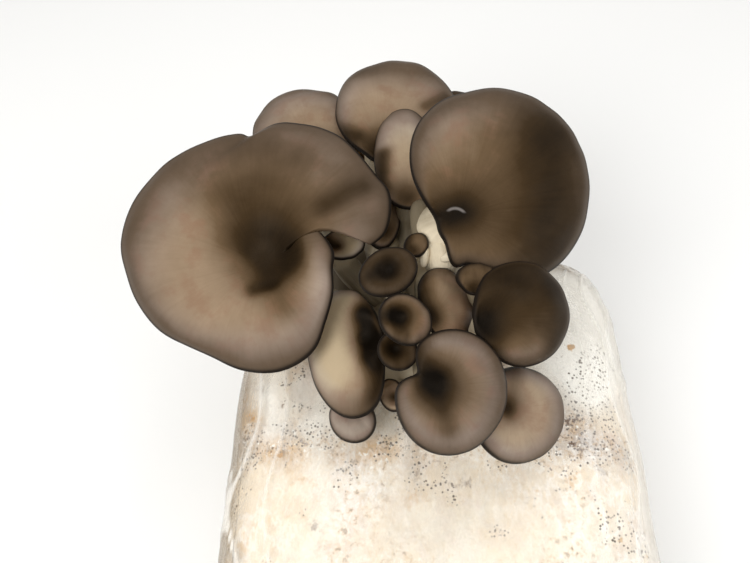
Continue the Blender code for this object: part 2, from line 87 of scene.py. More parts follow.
# The lumps of the block and the creases of the film. A rise is the height at which a
# thing starts and the run over which it comes in.
SAG_HEIGHT = 0.0011
SAG_LENGTH = 0.085
SAG_RISE = (0.006, 0.02)
CRUMB_HEIGHT = 0.00025
CRUMB_LENGTH = 0.012
CRUMB_RISE = (0.004, 0.01)
BLOCK_SHRINK = 0.0003
MARKS_RISE = (0.07, 0.03)
CREASE_RISE = (0.003, 0.012)
TOP_RISE = (0.104, 0.004)
LIP_HEIGHT = 0.0022
LIP_WIDTH = 0.10

# The creases along each gusset, in from the bag's edge: offset, width and amount.
GUSSET_CREASES = ((-0.008, 0.0006, 0.9), (0.002, 0.0008, 0.6), (0.015, 0.0007, 0.5))
GUSSET_INSET = 0.014
GUSSET_SLANT = 0.55
GUSSET_WANDER = 0.0030
GUSSET_RISE = (0.03, 0.05)

# Where the film is white: in from its left edge, short of its far end, and low down.
FILM_WHITE = ((-0.103, -0.086), (0.118, 0.106), (0.095, 0.080))
FILM_IOR = 1.5

# The fused base of the cluster, and the cut in the film that it grows through.
BASE_CENTRE = np.array([-0.008, 0.060, 0.119])
BASE_RADII = np.array([0.033, 0.031, 0.027])
BASE_SHRINK = 0.93
# Painted shade on the base: darker toward the back among the stems, over this start and run along +Y.
BASE_SHADING = (0.045, 0.012)
# A low mat of flesh beside the base, dark all over as painted shade: two places and the radius at each.
MAT = ((-0.050, 0.120, 0.1020), (-0.036, 0.076, 0.1020), (0.018, 0.018))
# Painted light and shade on the stems, as marks like those on the block: painted shade where the flesh is
# darker, and with a negative amount painted light where it is paler.
STEM_PAINTED_LIGHT_AND_SHADE = (
    (7.5, 72, 13, 54, 5, 0.8), (-20, 58, -17, 72, 4, 0.6), (-11, 102, -6, 90, 8, 0.5),
    (-4, 79, 2, 73, 6, -0.7), (-9, 80, -9, 74, 4, -0.5),
)
CUT_HALF_LENGTH = 0.0355
CUT_HALF_WIDTH = 0.0335

# Marks on the block's top: x, y, x, y and width in millimetres, then the amount.
SPECKLED = (
    (82, 36, 82, 12, 13, 1.0), (82, 56, 85, 46, 7, 0.7), (-76, 41, -70, 44, 6, 0.7),
    (-80, 28, -62, 26, 6, 0.5), (-58, 11, -50, 9, 7, 0.8), (-24, 8, -14, 12, 9, 0.8),
    (66, 6, 90, 3, 8, 0.7), (-97, 11, -92, 3, 6, 0.9),
)
# Straw and rust stains; those along the block's edges and at its far corner are painted shade where its top
# turns away.
TANNED_AND_SHADED = (
    (66, 44, 68, 50, 5, 0.5), (-30, 5, -8, 4, 7, 0.7), (-74, 10, -67, 20, 4, 1.2),
    (-97, 24, -91, 22, 4, 1.3), (76, 113, 90, 105, 4, 0.9), (91, 108, 99, 95, 3, 0.8),
    (97, 90, 101, 66, 2.0, 0.6), (99, 60, 104, 4, 1.8, 0.6), (-83, 5, -70, 1, 6, 1.3),
    (68, 15, 74, 18, 3, 0.6), (-102, 48, -100, 28, 3, 0.9), (-50, 3, -30, 2, 5, 0.8),
)
# Grey bruises; those along the block's edges and at its far corner are painted shade where its top turns
# away.
BRUISED_AND_SHADED = (
    (-58, 8, -50, 12, 8, 0.45), (60, 8, 95, 1, 8, 0.9), (72, 24, 78, 18, 6, 0.7),
    (-91, 45, -87, 38, 3, 0.8), (-102, 48, -100, 30, 3, 1.3), (-101, 27, -102, 4, 3, 0.9),
    (-77, 43, -69, 34, 5, 0.55), (-68, 30, -63, 24, 4, 0.4), (-94, 12, -88, 4, 5, 0.8),
    (75, 116, 90, 110, 2.0, 1.4), (90, 110, 98, 99, 1.5, 1.2), (60, 24, 74, 10, 5, 0.8),
)
# Where the block is blank and bright, partly painted light; where it is crumbly, with painted glints among
# the crumbs; where it is mossy; and painted shade behind the cluster.
PALE_AND_PAINTED_LIGHT = (
    (88, 106, 84, 58, 20, 2.0), (66, 56, 80, 36, 10, 1.3), (-88, 36, -82, 16, 6, 0.8),
    (-66, 16, -58, 20, 5, 0.6), (-80, 44, -66, 16, 14, 0.26), (-40, 8, 40, 2, 14, 0.15),
)
CRUMBS_AND_GLINTS = (
    (-100, 6, 95, 4, 9, 1.0), (-98, 40, -98, 12, 6, 0.9), (60, 22, 76, 16, 7, 0.9),
    (-72, 22, -68, 12, 5, 0.7),
)
MOSSY = (
    (66, 18, 74, 20, 2.2, 1.3), (67, 7, 73, 6, 2.2, 1.4), (-84, 7, -81, 4, 1.8, 1.3),
    (-98, 13, -96, 9, 1.8, 1.2), (-96, 3, -93, 1, 1.6, 1.1), (-90, 38, -90, 36, 1.0, 1.1),
    (-78, 30, -78, 28, 0.9, 1.0), (-55, 11, -53, 9, 1.3, 1.0), (-25, 6, -17, 13, 1.2, 0.9),
    (97, 38, 97, 34, 1.0, 1.1), (67, 57, 69, 53, 0.9, 1.0), (78, 7, 92, 5, 1.6, 0.9),
)
# Painted shade on the block behind the cluster, where the caps shade it.
PAINTED_SHADE_BEHIND_PLACE = (-48, 104, -36, 92, 19, 1.0)
BLOCK_MARKS = {
    "speckled": SPECKLED, "tanned": TANNED_AND_SHADED, "bruised": BRUISED_AND_SHADED, "bleached": PALE_AND_PAINTED_LIGHT,
    "crumbly": CRUMBS_AND_GLINTS, "mossy": MOSSY, "wet": (PAINTED_SHADE_BEHIND_PLACE,),
}
# Spots of the block: x, y and radius in millimetres. They reach down into it, because
# heights are flattened before they are compared with the spots' level.
SPOT_LEVEL = 0.0220
SPOT_FLATTENING = 0.2
RUSTY_SPOTS = ((73.6, 60.4, 2.5), (-95, 23, 2.4), (-78, 2, 2.0))

# A cap's form. The bowl round its hub and the flesh at its neck grow with its size.
NECK_SHARE = 0.2
MARGIN_THICKNESS = 0.0016
NECK_THICKNESS = 0.0012
NECK_THICKNESS_BY_SIZE = 0.14
THINNING = 0.8
BOWL = 0.001
BOWL_BY_SIZE = 0.30
DROOP_BY_REACH = 1.5
DROOP_REACH_LIMIT = 1.2
NECK_BY_STEM = 1.55
NECK_BY_REACH = 0.72

# A cap's grid, with its rows for the smallest caps and how many more for the largest, and
# its finer form. A run is where something starts, as a share of the way out, and the way
# over which it comes in, or with a negative number goes away.
CAP_SIZES = (0.006, 0.034)
TOP_ROWS = (17, 26)
UNDER_ROWS = (11, 18)
ROW_CROWDING = 1.7
FULL_GROWTH_SIZE = 0.03
MARGIN_WAVES = ((3, 1.0), (5, 0.6), (9, 0.3))
ROLL_RUN = (0.86, 0.14)
EDGE_RUN = (0.4, 0.5)
SKIN_LUMP = 0.003
SKIN_LUMP_BY_SIZE = 0.35
LIP_RADIUS_SHARE = 0.6
HUB_BLUNTNESS = 1.6
DARK_SOFTNESS = 0.05
GILL_WIDENING = 0.45
GILL_STARTS = (0.18, 0.42)
GILL_START_RUN = 0.12
GILL_SECTION = (0.0, 0.8, 1.0, 0.8)
GILL_END = (1.0, -0.07)
LEAST_FLESH = 0.0009

# The stems: how they leave the base and keep clear of each other.
STEM_CLEARANCE = 0.0020
START_DEPTH = 0.50
START_LOWEST = 0.12
START_FLATTENING = np.array([1.0, 1.0, 0.8])
START_PUSH = 0.3
START_PULL = 0.01
PUSH_ROUNDS = 300
TOUCHING = 1e-9
STEM_PUSH = 0.12
STEM_PUSH_STEPS = np.linspace(0.26, 0.90, 11)
CAP_PULL = 0.5
UPWARD = np.array([0.0, 0.0, 1.0])
LEAVE_SHARE = 0.45
ARRIVE_SHARE = 0.40
FOOT_SWELL = 0.22
FLARE_POWER = 6
FLARE_ROOM = 0.5
STEM_CUP_ROWS = 5
GAP = 0.0003
LEAST_TURN = 1e-9
# Runs along a stem, as shares of the way up: its ridges start and end, its section turns
# into the cap's neck, and the painted shade of its foot fades.
GROOVE_RISE = (0.78, 0.2)
GROOVE_END = (0.97, 0.03)
MEETING_RUN = (0.86, 0.14)
FOOT_SHADING = (0.62, -0.4)

# A painted highlight for the wet glint in the second cap's hub: an arc, kept where it lies farther along +Y.
PAINTED_GLINT_CENTRE = (0.0062, 0.0834, 0.1955)
PAINTED_GLINT_RADIUS = 0.0054
PAINTED_GLINT_RISE = (0.0866, 0.0880)

# The camera, at the photograph's angle, and its frame.
CAMERA_PLACE = (-0.031, -0.120, 0.471)
CAMERA_TILT = 31.6
CAMERA_LENS = 36.0
CAMERA_SENSOR = 36.0

# The floor, the lights with their places and sizes, and the light from all round.
FLOOR_HALF = 3.0
LIGHTS = (("key", (-0.65, -0.55, 1.05), 0.9), ("fill", (0.9, -0.3, 0.8), 0.9), ("top", (0.1, 0.5, 1.4), 1.2))
LIGHTS_AIM = (0.0, 0.04, 0.12)
AIR_COLOUR = (1.0, 0.985, 0.96, 1.0)


@dataclass
class Mushroom:
    """One mushroom.

    Lengths are in metres and the cap's plane is turned by its lean. A lobe is an
    angle and a width in degrees and, between them, the share by which the margin
    moves out there. The hub, the skin and the spread say how dark the cap is at its
    hub and further out, and how far the dark reaches as a share of its size. A
    stroke darkens and a fold lifts the skin along a line between two points of the
    cap's plane: they are x, y, x, y and width in millimetres, then the amount. The
    dark of the hub and the strokes is partly the skin's own colour and partly painted
    shade, and a stroke with a negative amount is partly painted light. The stem is
    thicker by fleshy and darker by its painted stem shade, which stands for the shade
    between the caps. Cool tints the skin as its margin is. A lump of torn flesh on the
    stem is two places, a radius at each, and how dark it is, partly painted shade.
    """
    name: str
    hub: tuple
    lean: tuple
    middle: tuple
    half: tuple
    turn: float
    dish: float
    droop: float
    stem: float
    bow: tuple = (0.0, 0.0, 0.0)
    lobes: tuple = ()
    dark_hub: float = 0.85
    dark_skin: float = 0.25
    spread: float = 0.35
    strokes: tuple = ()
    folds: tuple = ()
    darkest: float = 1.0
    edge: float = 0.0
    fleshy: float = 1.15
    stem_painted_shade: float = 0.4
    cool: float = 0.0
    lumps: tuple = ()

    @property
    def size(self):
        """Half the cap's width, along its axes on average."""
        return sum(self.half) / 2


MUSHROOMS = [
    Mushroom("large_right", (0.007, 0.086, 0.194), (0.1, -0.42), (0.024, 0.0205), (0.044, 0.0495),
             29, 0.006, 0.015, 0.0084, bow=(-0.005, 0.0, 0.0),
             lobes=((188, -0.33, 38), (264, 0.36, 13), (350, -0.035, 26), (50, 0.028, 20),
                    (84, -0.03, 10), (10, -0.015, 12)),
             dark_hub=0.7, dark_skin=0.39, spread=0.5,
             strokes=((-8, -1, 1, 2, 8, 0.32), (44, 38, 42, -8, 21, 0.48), (-8, 26, -4, 42, 9, -0.1)),
             fleshy=1.5, stem_painted_shade=0.0,
             lumps=(((-0.0092, 0.1065, 0.1782), (-0.0032, 0.069, 0.1738), (0.0074, 0.0062), 0.8),
                    ((-0.0046, 0.103, 0.1775), (0.001, 0.0675, 0.1735), (0.005, 0.0096), 0.16),
                    ((-0.0076, 0.0775, 0.181), (-0.0086, 0.069, 0.1765), (0.0028, 0.0022), 0.02),
                    ((-0.001, 0.0695, 0.182), (0.0058, 0.072, 0.1825), (0.0018, 0.0028), 0.1))),
    Mushroom("back_middle", (-0.028, 0.142, 0.175), (0.0, -0.12), (0.01, 0.0275), (0.033, 0.037),
             14, 0.005, 0.01, 0.0058, bow=(-0.003, 0.0, 0.0),
             lobes=((112, 0.06, 22), (70, 0.035, 18), (165, 0.05, 20)),
             dark_hub=0.9, dark_skin=0.22, spread=0.34,
             strokes=((-13, 7, -26, 15, 5, 0.4), (24, 26, 36, 37, 4, 0.35), (-8, 57, 22, 52, 13, 0.2))),
    Mushroom("back_left", (-0.06, 0.149, 0.159), (-0.15, -0.12), (-0.011, 0.0225), (0.0265, 0.035),
             29, 0.005, 0.009, 0.005, bow=(-0.008, 0.0, 0.0),
             lobes=((150, 0.07, 15), (82, 0.08, 12)),
             dark_hub=0.75, dark_skin=0.24, spread=0.3, fleshy=2.0, stem_painted_shade=0.9),
    Mushroom("spoon", (-0.014, 0.109, 0.178), (-0.15, -0.2), (-0.002, 0.024), (0.016, 0.03),
             5, 0.004, 0.006, 0.0036, bow=(-0.002, 0.0, 0.0), dark_hub=0.7, dark_skin=0.11, spread=0.4,
             strokes=((-14, 6, -13, 24, 5, 0.6),),
             fleshy=1.75, stem_painted_shade=0.8),
    Mushroom("behind_left", (-0.027, 0.097, 0.166), (0.15, -0.2), (-0.001, 0.0125), (0.01, 0.0215),
             0, 0.003, 0.005, 0.003, dark_skin=0.34, fleshy=2.6, stem_painted_shade=0.85),
    Mushroom("back_bud", (-0.04, 0.155, 0.148), (0.0, -0.1), (-0.002, 0.006), (0.008, 0.014),
             13, 0.002, 0.004, 0.0024, bow=(-0.003, 0.0, -0.004), dark_skin=0.55),
    Mushroom("back_right", (0.012, 0.178, 0.158), (0.05, -0.1), (0.002, 0.008), (0.0145, 0.0185),
             -37, 0.003, 0.005, 0.0034, dark_skin=0.66),
    Mushroom("button_top", (-0.025, 0.061, 0.186), (-0.05, -0.35), (0.0, -0.001), (0.0135, 0.0105),
             27, 0.005, 0.002, 0.003, dark_hub=1.1, dark_skin=0.66, spread=0.5,
             strokes=((-3, -1, -8, -3, 4, 0.2),),
             cool=0.6),
    Mushroom("button_middle", (-0.02, 0.038, 0.184), (0.1, -0.4), (0.002, -0.001), (0.0105, 0.012),
             53, 0.005, 0.002, 0.003, dark_hub=1.05, dark_skin=0.4, spread=0.48,
             strokes=((-4, 1, -9, 0, 5, 0.38), (0, -7, -3, -12, 4, 0.18))),
    Mushroom("button_low", (-0.022, 0.03, 0.17), (0.0, -0.45), (0.001, -0.001), (0.009, 0.0085),
             -43, 0.005, 0.001, 0.0026, dark_hub=1.05, dark_skin=0.62, spread=0.6),
    Mushroom("tongue", (-0.006, 0.041, 0.178), (0.25, -0.25), (0.0075, 0.0075), (0.0125, 0.018),
             8, 0.003, 0.006, 0.0034, bow=(0.001, 0.007, -0.001),
             lobes=((25, 0.1, 40),),
             dark_hub=0.92, dark_skin=0.36, spread=0.34,
             strokes=((-5, 4, -5, 22, 5, 0.46),),
             cool=-0.5),
    Mushroom("dark_right", (0.0165, 0.035, 0.186), (0.25, -0.35), (0.0195, 0.0055), (0.025, 0.023),
             32, 0.005, 0.009, 0.0044, bow=(0.008, -0.002, -0.003), dark_hub=0.96, dark_skin=0.73,
             spread=0.36,
             strokes=((13, -15, 22, -13, 7.5, -0.32), (-2, -2, -9, -3, 7, 0.2),
                      (12, 20, 34, 14, 10, 0.12), (4, 12, 14, 14, 6, 0.08)),
             stem_painted_shade=0.9),
    Mushroom("front", (-0.005, 0.004, 0.187), (0.05, -0.45), (0.006, -0.002), (0.023, 0.0255),
             -13, 0.006, 0.009, 0.005,
             lobes=((147, -0.42, 22),),
             dark_hub=0.97, dark_skin=0.27, spread=0.43,
             strokes=((-4, 4, -10, 13, 7, 0.4), (1, -10, 3, -16, 5, 0.22), (22, -8, 24, 8, 9, 0.12)),
             stem_painted_shade=0.75, cool=0.45),
    Mushroom("front_right", (0.028, 0.007, 0.156), (0.25, -0.4), (0.008, -0.003), (0.0225, 0.0205),
             22, 0.005, 0.008, 0.0044,
             lobes=((90, 0.08, 30), (10, 0.02, 25)),
             dark_hub=0.9, dark_skin=0.17, spread=0.22,
             strokes=((-2, 6, 3, 15, 5, 0.18), (20, -18, 26, 0, 8, 0.1)),
             cool=0.2),
    Mushroom("trough", (-0.035, 0.04, 0.16), (-0.28, -0.12), (-0.0105, -0.0035), (0.019, 0.032),
             11, 0.007, 0.008, 0.0042, dark_hub=1.0, dark_skin=0.0, spread=0.13,
             strokes=((1, 8, 6, -8, 7.5, 0.98), (6, -8, 8, -28, 7.5, 0.8), (0, 12, 1, 27, 5, 0.4),
                      (-6, -29, 4, -33, 8, 0.24), (-26, -20, -20, 12, 9, -0.12)),
             cool=-0.45),
    Mushroom("pale_low", (-0.042, 0.017, 0.135), (-0.1, -0.3), (0.0, -0.006), (0.0115, 0.0105),
             -42, 0.003, 0.004, 0.003, dark_hub=0.6, dark_skin=0.12, spread=0.45,
             strokes=((4, 1, 9, -2, 3, 0.4),),
             cool=0.9),
    Mushroom("behind_right", (0.013, 0.051, 0.186), (0.16, -0.22), (0.0025, 0.0055), (0.01, 0.008),
             0, 0.002, 0.003, 0.0028, bow=(0.01, 0.001, 0.0), dark_hub=0.9, dark_skin=0.62, stem_painted_shade=0.9,
             cool=-0.3),
    Mushroom("bud_by_stem", (-0.0128, 0.0745, 0.182), (0.0, -0.3), (0.001, 0.003), (0.0055, 0.0065),
             -34, 0.002, 0.002, 0.002, bow=(-0.003, -0.002, 0.0), dark_hub=0.8, dark_skin=0.5,
             strokes=((-5, 0, -3, 6, 3, 0.4),),
             cool=-0.8),
    Mushroom("bud_low", (-0.022, 0.019, 0.141), (-0.1, -0.3), (-0.001, 0.001), (0.006, 0.008),
             20, 0.002, 0.002, 0.0022, dark_skin=0.16, cool=-0.6),
    # The curl's stroke is painted shadow inside its funnel.
    Mushroom("curl", (-0.049, 0.088, 0.166), (0.0, -0.3), (0.002, 0.0), (0.011, 0.0075),
             7, 0.004, 0.001, 0.0024, dark_hub=0.4, dark_skin=0.0, spread=0.2,
             strokes=((-9, 2, -4, 0, 4.5, 0.95),),
             fleshy=2.4, stem_painted_shade=0.9),
]

# The largest cap is a kidney with a cleft toward the cluster: its margin is given as
# angle in degrees and reach in millimetres, from the upper lip of the cleft round to
# the lower one.
KIDNEY = Mushroom("large_left", (-0.084, 0.07, 0.178), (-0.14, -0.32), (0.0, 0.0), (0.05, 0.05),
                  0, 0.011, 0.01, 0.009, bow=(0.0, 0.004, -0.01), dark_hub=0.26, dark_skin=0.26,
                  spread=0.26,
                  strokes=((2, 3, 14, 0, 11, 0.52), (5, 12, 3, 37, 19, 0.36), (15, 14, 34, 27, 14, 0.2),
                           (-12, 2, -4, -1, 5, -0.1), (4, 56, 18, 51, 8, 0.13),
                           (-8, 12, -15, 30, 13, 0.24), (31, 26, 48, 36, 5.5, 0.27),
                           (-2, -13, 6, -11, 4, 0.36), (6, -8, 13, -22, 8, 0.22),
                           (14, -1, 20, -2, 6, 0.12), (36, 14, 50, 20, 7, 0.08),
                           (27, -2, 34, -16, 8, -0.05), (26, -10, 24, -28, 8, 0.08),
                           (35, -14, 31, -40, 8, -0.24), (-32, 42, -8, 58, 10, 0.14),
                           (20, 46, 48, 40, 10, 0.08)),
                  folds=((30, 25, 56, 43, 5, -0.0026), (31, 14, 55, 26, 6, 0.0028),
                         (2, 6, 6, 40, 14, -0.0026), (-2, -14, 9, -9, 3, -0.0018)),
                  darkest=0.9, edge=0.14)
GROWN = MUSHROOMS + [KIDNEY]
KIDNEY_MARGIN = [
    (9, 51), (14, 58), (22, 64), (31, 68), (42, 68), (52, 70), (64, 73), (77, 73), (87, 72), (97, 66),
    (103, 69), (119, 71), (135, 74.5), (152, 75.6), (167, 73.2), (180, 68), (194, 62.8), (211, 56.4),
    (228, 49.8), (244, 47.3), (262, 49), (281, 50), (300, 48), (317, 42), (335, 38), (350, 35), (363, 35),
    (379, 31),
]
KIDNEY_CLEFT_ANGLE = 22.0
KIDNEY_NECK = 0.013
KIDNEY_LOWER_LIFT = 0.006
KIDNEY_UPPER_FALL = 0.003
KIDNEY_SLOT_ANGLE = 1.5
KIDNEY_SLOT_RUN = 0.20
KIDNEY_SWING_START = 0.35
KIDNEY_LOWER_LIP = 0.75
KIDNEY_UPPER_LIP = 0.20
KIDNEY_LIP_RUN = 0.625
KIDNEY_NOTCH_POWER = 6


def unit(vector):
    """Vectors of length one along the last axis."""
    vector = np.asarray(vector, float)
    return vector / np.linalg.norm(vector, axis=-1, keepdims=True)


def smooth(value):
    """Smooth step from 0 to 1."""
    value = np.clip(value, 0.0, 1.0)
    return value * value * (3.0 - 2.0 * value)


def ramp(value, start, run):
    """Smooth step of a value, from 0 at a start to 1 a run further on."""
    return smooth((value - start) / run)


def ripple(points, length, seed, waves=10):
    """Irregular relief of about height 1: sine waves of about one length, summed over seeded directions."""
    rng = np.random.default_rng(seed)
    ways = unit(rng.normal(size=(waves, 3))) / (length * rng.uniform(0.6, 1.7, (waves, 1)))
    phases = rng.uniform(0.0, 2 * pi, waves)
    return np.sin(2 * pi * points @ ways.T + phases).sum(-1) / np.sqrt(waves / 2)


def crease(points, length, seed):
    """Sharp ridges between soft hollows: one less the size of a ripple, squared."""
    return np.clip(1.0 - np.abs(ripple(points, length, seed, 6)), 0.0, 1.0) ** 2


def along_line(x, y, line):
    """A soft streak: a bell curve of the distance to a line between two points, in millimetres."""
    start = np.array(line[:2]) / 1000
    run = np.array(line[2:4]) / 1000 - start
    share = np.clip(((x - start[0]) * run[0] + (y - start[1]) * run[1]) / (run @ run + 1e-12), 0.0, 1.0)
    square = (x - start[0] - share * run[0]) ** 2 + (y - start[1] - share * run[1]) ** 2
    return line[5] * np.exp(-square / (line[4] / 1000) ** 2)


def woven(name, grids, values):
    """A closed mesh of grids of points.

    Each cell becomes two triangles. Points that coincide are joined, and triangles
    that are left without an area are dropped, which closes seams and poles. The
    values are grids of numbers that the materials read from the points.
    """
    points = np.concatenate([grid.reshape(-1, 3) for grid in grids])
    triangles = []
    start = 0
    for grid in grids:
        index = start + np.arange(grid.shape[0] * grid.shape[1]).reshape(grid.shape[:2])
        a, b, c, d = index[:-1, :-1], index[1:, :-1], index[1:, 1:], index[:-1, 1:]
        triangles += [np.stack([a, b, c], -1).reshape(-1, 3), np.stack([a, c, d], -1).reshape(-1, 3)]
        start += index.size
    keys = np.round(points / WELD).astype(np.int64)
    _, first, place = np.unique(keys, axis=0, return_index=True, return_inverse=True)
    triangles = place.reshape(-1)[np.concatenate(triangles)]
    a, b, c = triangles.T
    triangles = triangles[(a != b) & (b != c) & (c != a)]
    mesh = bpy.data.meshes.new(name)
    mesh.from_pydata(points[first].tolist(), [], triangles.tolist())
    mesh.shade_smooth()
    for key, parts in values.items():
        flat = np.concatenate([part.reshape(grid[..., 0].size, -1) for part, grid in zip(parts, grids)])
        kind, field = ("FLOAT_VECTOR", "vector") if flat.shape[1] == 3 else ("FLOAT", "value")
        held = mesh.attributes.new(key, kind, "POINT")
        held.data.foreach_set(field, flat[first].ravel().astype(np.float32))
    return mesh


def new_piece(name, mesh, material, node):
    """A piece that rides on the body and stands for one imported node."""
    piece = bpy.data.objects.new(name, mesh)
    bpy.context.scene.collection.objects.link(piece)
    mesh.materials.append(material)
    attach(piece, "root")
    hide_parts(node)
    return piece


class Wire:
    """A value in a node tree. Arithmetic on it adds the Math nodes for it."""

    def __init__(self, tree, socket=None):
        self.tree = tree
        self.socket = socket

    def feed(self, made, inputs):
        """Link wires to a node's sockets, or set the sockets' own values."""
        for key, value in inputs.items():
            if isinstance(value, Wire):
                self.tree.links.new(value.socket, made.inputs[key])
            else:
                made.inputs[key].default_value = value

    def node(self, kind, settings=None, inputs=None, output=0):
        """Add a node: its settings, then the values or links of its sockets. A ramp's stops are a setting."""
        made = self.tree.nodes.new(kind)
        for key, value in (settings or {}).items():
            if key == "stops":
                colours = made.color_ramp
                while len(colours.elements) < len(value):
                    colours.elements.new(1.0)
                for element, (place, colour) in zip(colours.elements, value):
                    element.position = place
                    element.color = (*colour, 1.0)
            else:
                setattr(made, key, value)
        self.feed(made, inputs or {})
        return Wire(self.tree, made.outputs[output])

    def math(self, operation, *others, clamp=False):
        """A Math node on this value and the others."""
        values = dict(enumerate((self, *others)))
        return self.node("ShaderNodeMath", {"operation": operation, "use_clamp": clamp}, values)

    def __add__(self, other):
        return self.math("ADD", other)

    def __sub__(self, other):
        return self.math("SUBTRACT", other)

    def __mul__(self, other):
        return self.math("MULTIPLY", other)

    __radd__ = __add__
    __rmul__ = __mul__

    def __rsub__(self, other):
        return self.node("ShaderNodeMath", {"operation": "SUBTRACT"}, {0: other, 1: self})

    def clamp(self):
        """This value held between 0 and 1."""
        return self.math("ADD", 0.0, clamp=True)

    def step(self, low, high):
        """Smooth step from 0 at low to 1 at high."""
        settings = {"interpolation_type": "SMOOTHSTEP"}
        return self.node("ShaderNodeMapRange", settings, {"Value": self, "From Min": low, "From Max": high})

    def blend(self, one, other):
        """The colour one where this value is 0 or less, and the other where it is 1 or more."""
        settings = {"data_type": "RGBA", "clamp_factor": True}
        colours = [value if isinstance(value, Wire) else (*value, 1.0) for value in (one, other)]
        return self.node("ShaderNodeMix", settings, {0: self, 6: colours[0], 7: colours[1]}, 2)

    def part(self, number):
        """One of this vector's three numbers."""
        return self.node("ShaderNodeSeparateXYZ", None, {0: self}, number)

    def stretched(self, scale):
        """This vector times a scale for each axis."""
        return self.node("ShaderNodeVectorMath", {"operation": "MULTIPLY"}, {0: self, 1: scale})

    def distance(self, place):
        """How far this vector lies from a place."""
        return self.node("ShaderNodeVectorMath", {"operation": "DISTANCE"}, {0: self, 1: place}, 1)

    def noise(self, scale, detail=3.0, roughness=0.5):
        """Noise at this vector, around 0.5."""
        inputs = {"Vector": self, "Scale": scale, "Detail": detail, "Roughness": roughness}
        return self.node("ShaderNodeTexNoise", None, inputs)

    def bump(self, distance, strength):
        """A normal from this height, in units of the distance."""
        return self.node("ShaderNodeBump", None, {"Height": self, "Distance": distance, "Strength": strength})


def new_material(name):
    """A material and the wires to build it from: its board and its Principled shader."""
    made = bpy.data.materials.new(name)
    made.use_nodes = True
    shader = made.node_tree.nodes["Principled BSDF"]
    return made, Wire(made.node_tree), shader


def read(board, name, output=1):
    """A vector that the mesh holds for each point, or with output 2 a number."""
    return board.node("ShaderNodeAttribute", {"attribute_name": name}, output=output)


def cap_material(name, settings):
    """Cap skin above and gills below.

    The mesh gives a vector of the angle's cosine and sine and the place along the
    profile, 0 at the hub, 1 at the margin and 2 at the neck, and the skin's shade.
    """
    material, board, shader = new_material(name)
    radial = read(board, "radial")
    place = radial.part(2)
    shade, cool, rim, gill = (read(board, key, 2) for key in ("shade", "cool", "rim", "gill"))
    space = board.node("ShaderNodeTexCoord", output=3)
    fibres = radial.stretched((1.0, 1.0, 0.10)).noise(22.0, 3.0, 0.5)
    veins = radial.stretched((1.0, 1.0, 0.30)).noise(55.0, 3.0, 0.6)
    cloud = space.noise(60.0, 4.0, 0.55)
    blotch = space.noise(75.0, 5.0, 0.62)
    fine = space.noise(900.0, 3.0, 0.6)
    margin = place.step(0.70, 1.03)
    shade = shade + (fibres - 0.5) * 0.06 + (cloud - 0.5) * 0.20
    # Darker toward the margin: partly the skin's own colour, partly painted shade where the margin turns down
    # from the light.
    shade = shade + margin * settings.margin_dark * (1.0 - shade)
    shade = shade + place.step(0.88, 1.0) * 0.6 * (0.50 - shade)
    skin = shade.node("ShaderNodeValToRGB", {"stops": (
        (0.0, settings.skin_pale), (0.22, settings.skin_tan), (0.50, settings.skin_brown),
        (0.75, settings.skin_dark), (1.0, settings.skin_black))}, {0: shade})
    middling = (shade.step(0.05, 0.22) - shade.step(0.40, 0.62)) * (1.0 - margin)
    rust = blotch.step(0.46, 0.66) * (0.6 + veins * 0.5) * middling * 0.5
    skin = rust.blend(skin, settings.rust)
    skin = (place.step(0.45, 0.95) + cool).blend(skin, skin.stretched(settings.margin))
    # Dark line along the margin: partly its own dark edge, partly painted contact shadow where caps overlap.
    skin = rim.blend(skin, settings.rim)
    # Painted highlight: a pale arc for the glint in the second cap's hub.
    ring = (space.distance(PAINTED_GLINT_CENTRE) - PAINTED_GLINT_RADIUS).math("ABSOLUTE").step(0.0009, 0.0001)
    skin = (ring * space.part(1).step(*PAINTED_GLINT_RISE) * 0.55).blend(skin, settings.glint)
    under = (gill * 0.8).blend(settings.gill, settings.gill_shadow)
    under = (place.step(1.25, 1.0) * 0.5).blend(under, settings.skin_tan)
    below = place.step(1.004, 1.03)
    board.feed(shader, {
        "Base Color": below.blend(skin, under),
        "Roughness": 0.46 + (cloud - 0.5) * 0.2 + below * 0.25,
        "Normal": (fibres * 0.3 + fine * 0.22 + veins * 0.2).bump(0.0006, 0.5),
        "Specular IOR Level": 0.07,
        "Specular Tint": (1.0, 0.82, 0.64, 1.0)})
    return material


def flesh_material(name, settings):
    """Cream flesh with fibres along the stem, darker with painted shade near its foot."""
    material, board, shader = new_material(name)
    fibres = read(board, "radial").stretched((1.0, 1.0, 0.05)).noise(14.0, 4.0, 0.6)
    cloud = board.node("ShaderNodeTexCoord", output=3).noise(90.0, 4.0, 0.6)
    tint = (cloud - 0.35) * 0.9 + (fibres - 0.5) * 0.6
    flesh = tint.blend(settings.flesh, settings.flesh_shade)
    # Painted shade: the mesh's shade takes the flesh toward the dark foot colour.
    flesh = (read(board, "shade", 2) * 0.92).blend(flesh, settings.foot)
    flesh = (read(board, "gill", 2) * 0.15).blend(flesh, settings.gill_shadow)
    board.feed(shader, {
        "Base Color": flesh,
        "Roughness": 0.55 + (cloud - 0.5) * 0.2,
        "Normal": (fibres + cloud * 0.5).bump(0.0007, 0.6)})
    return material


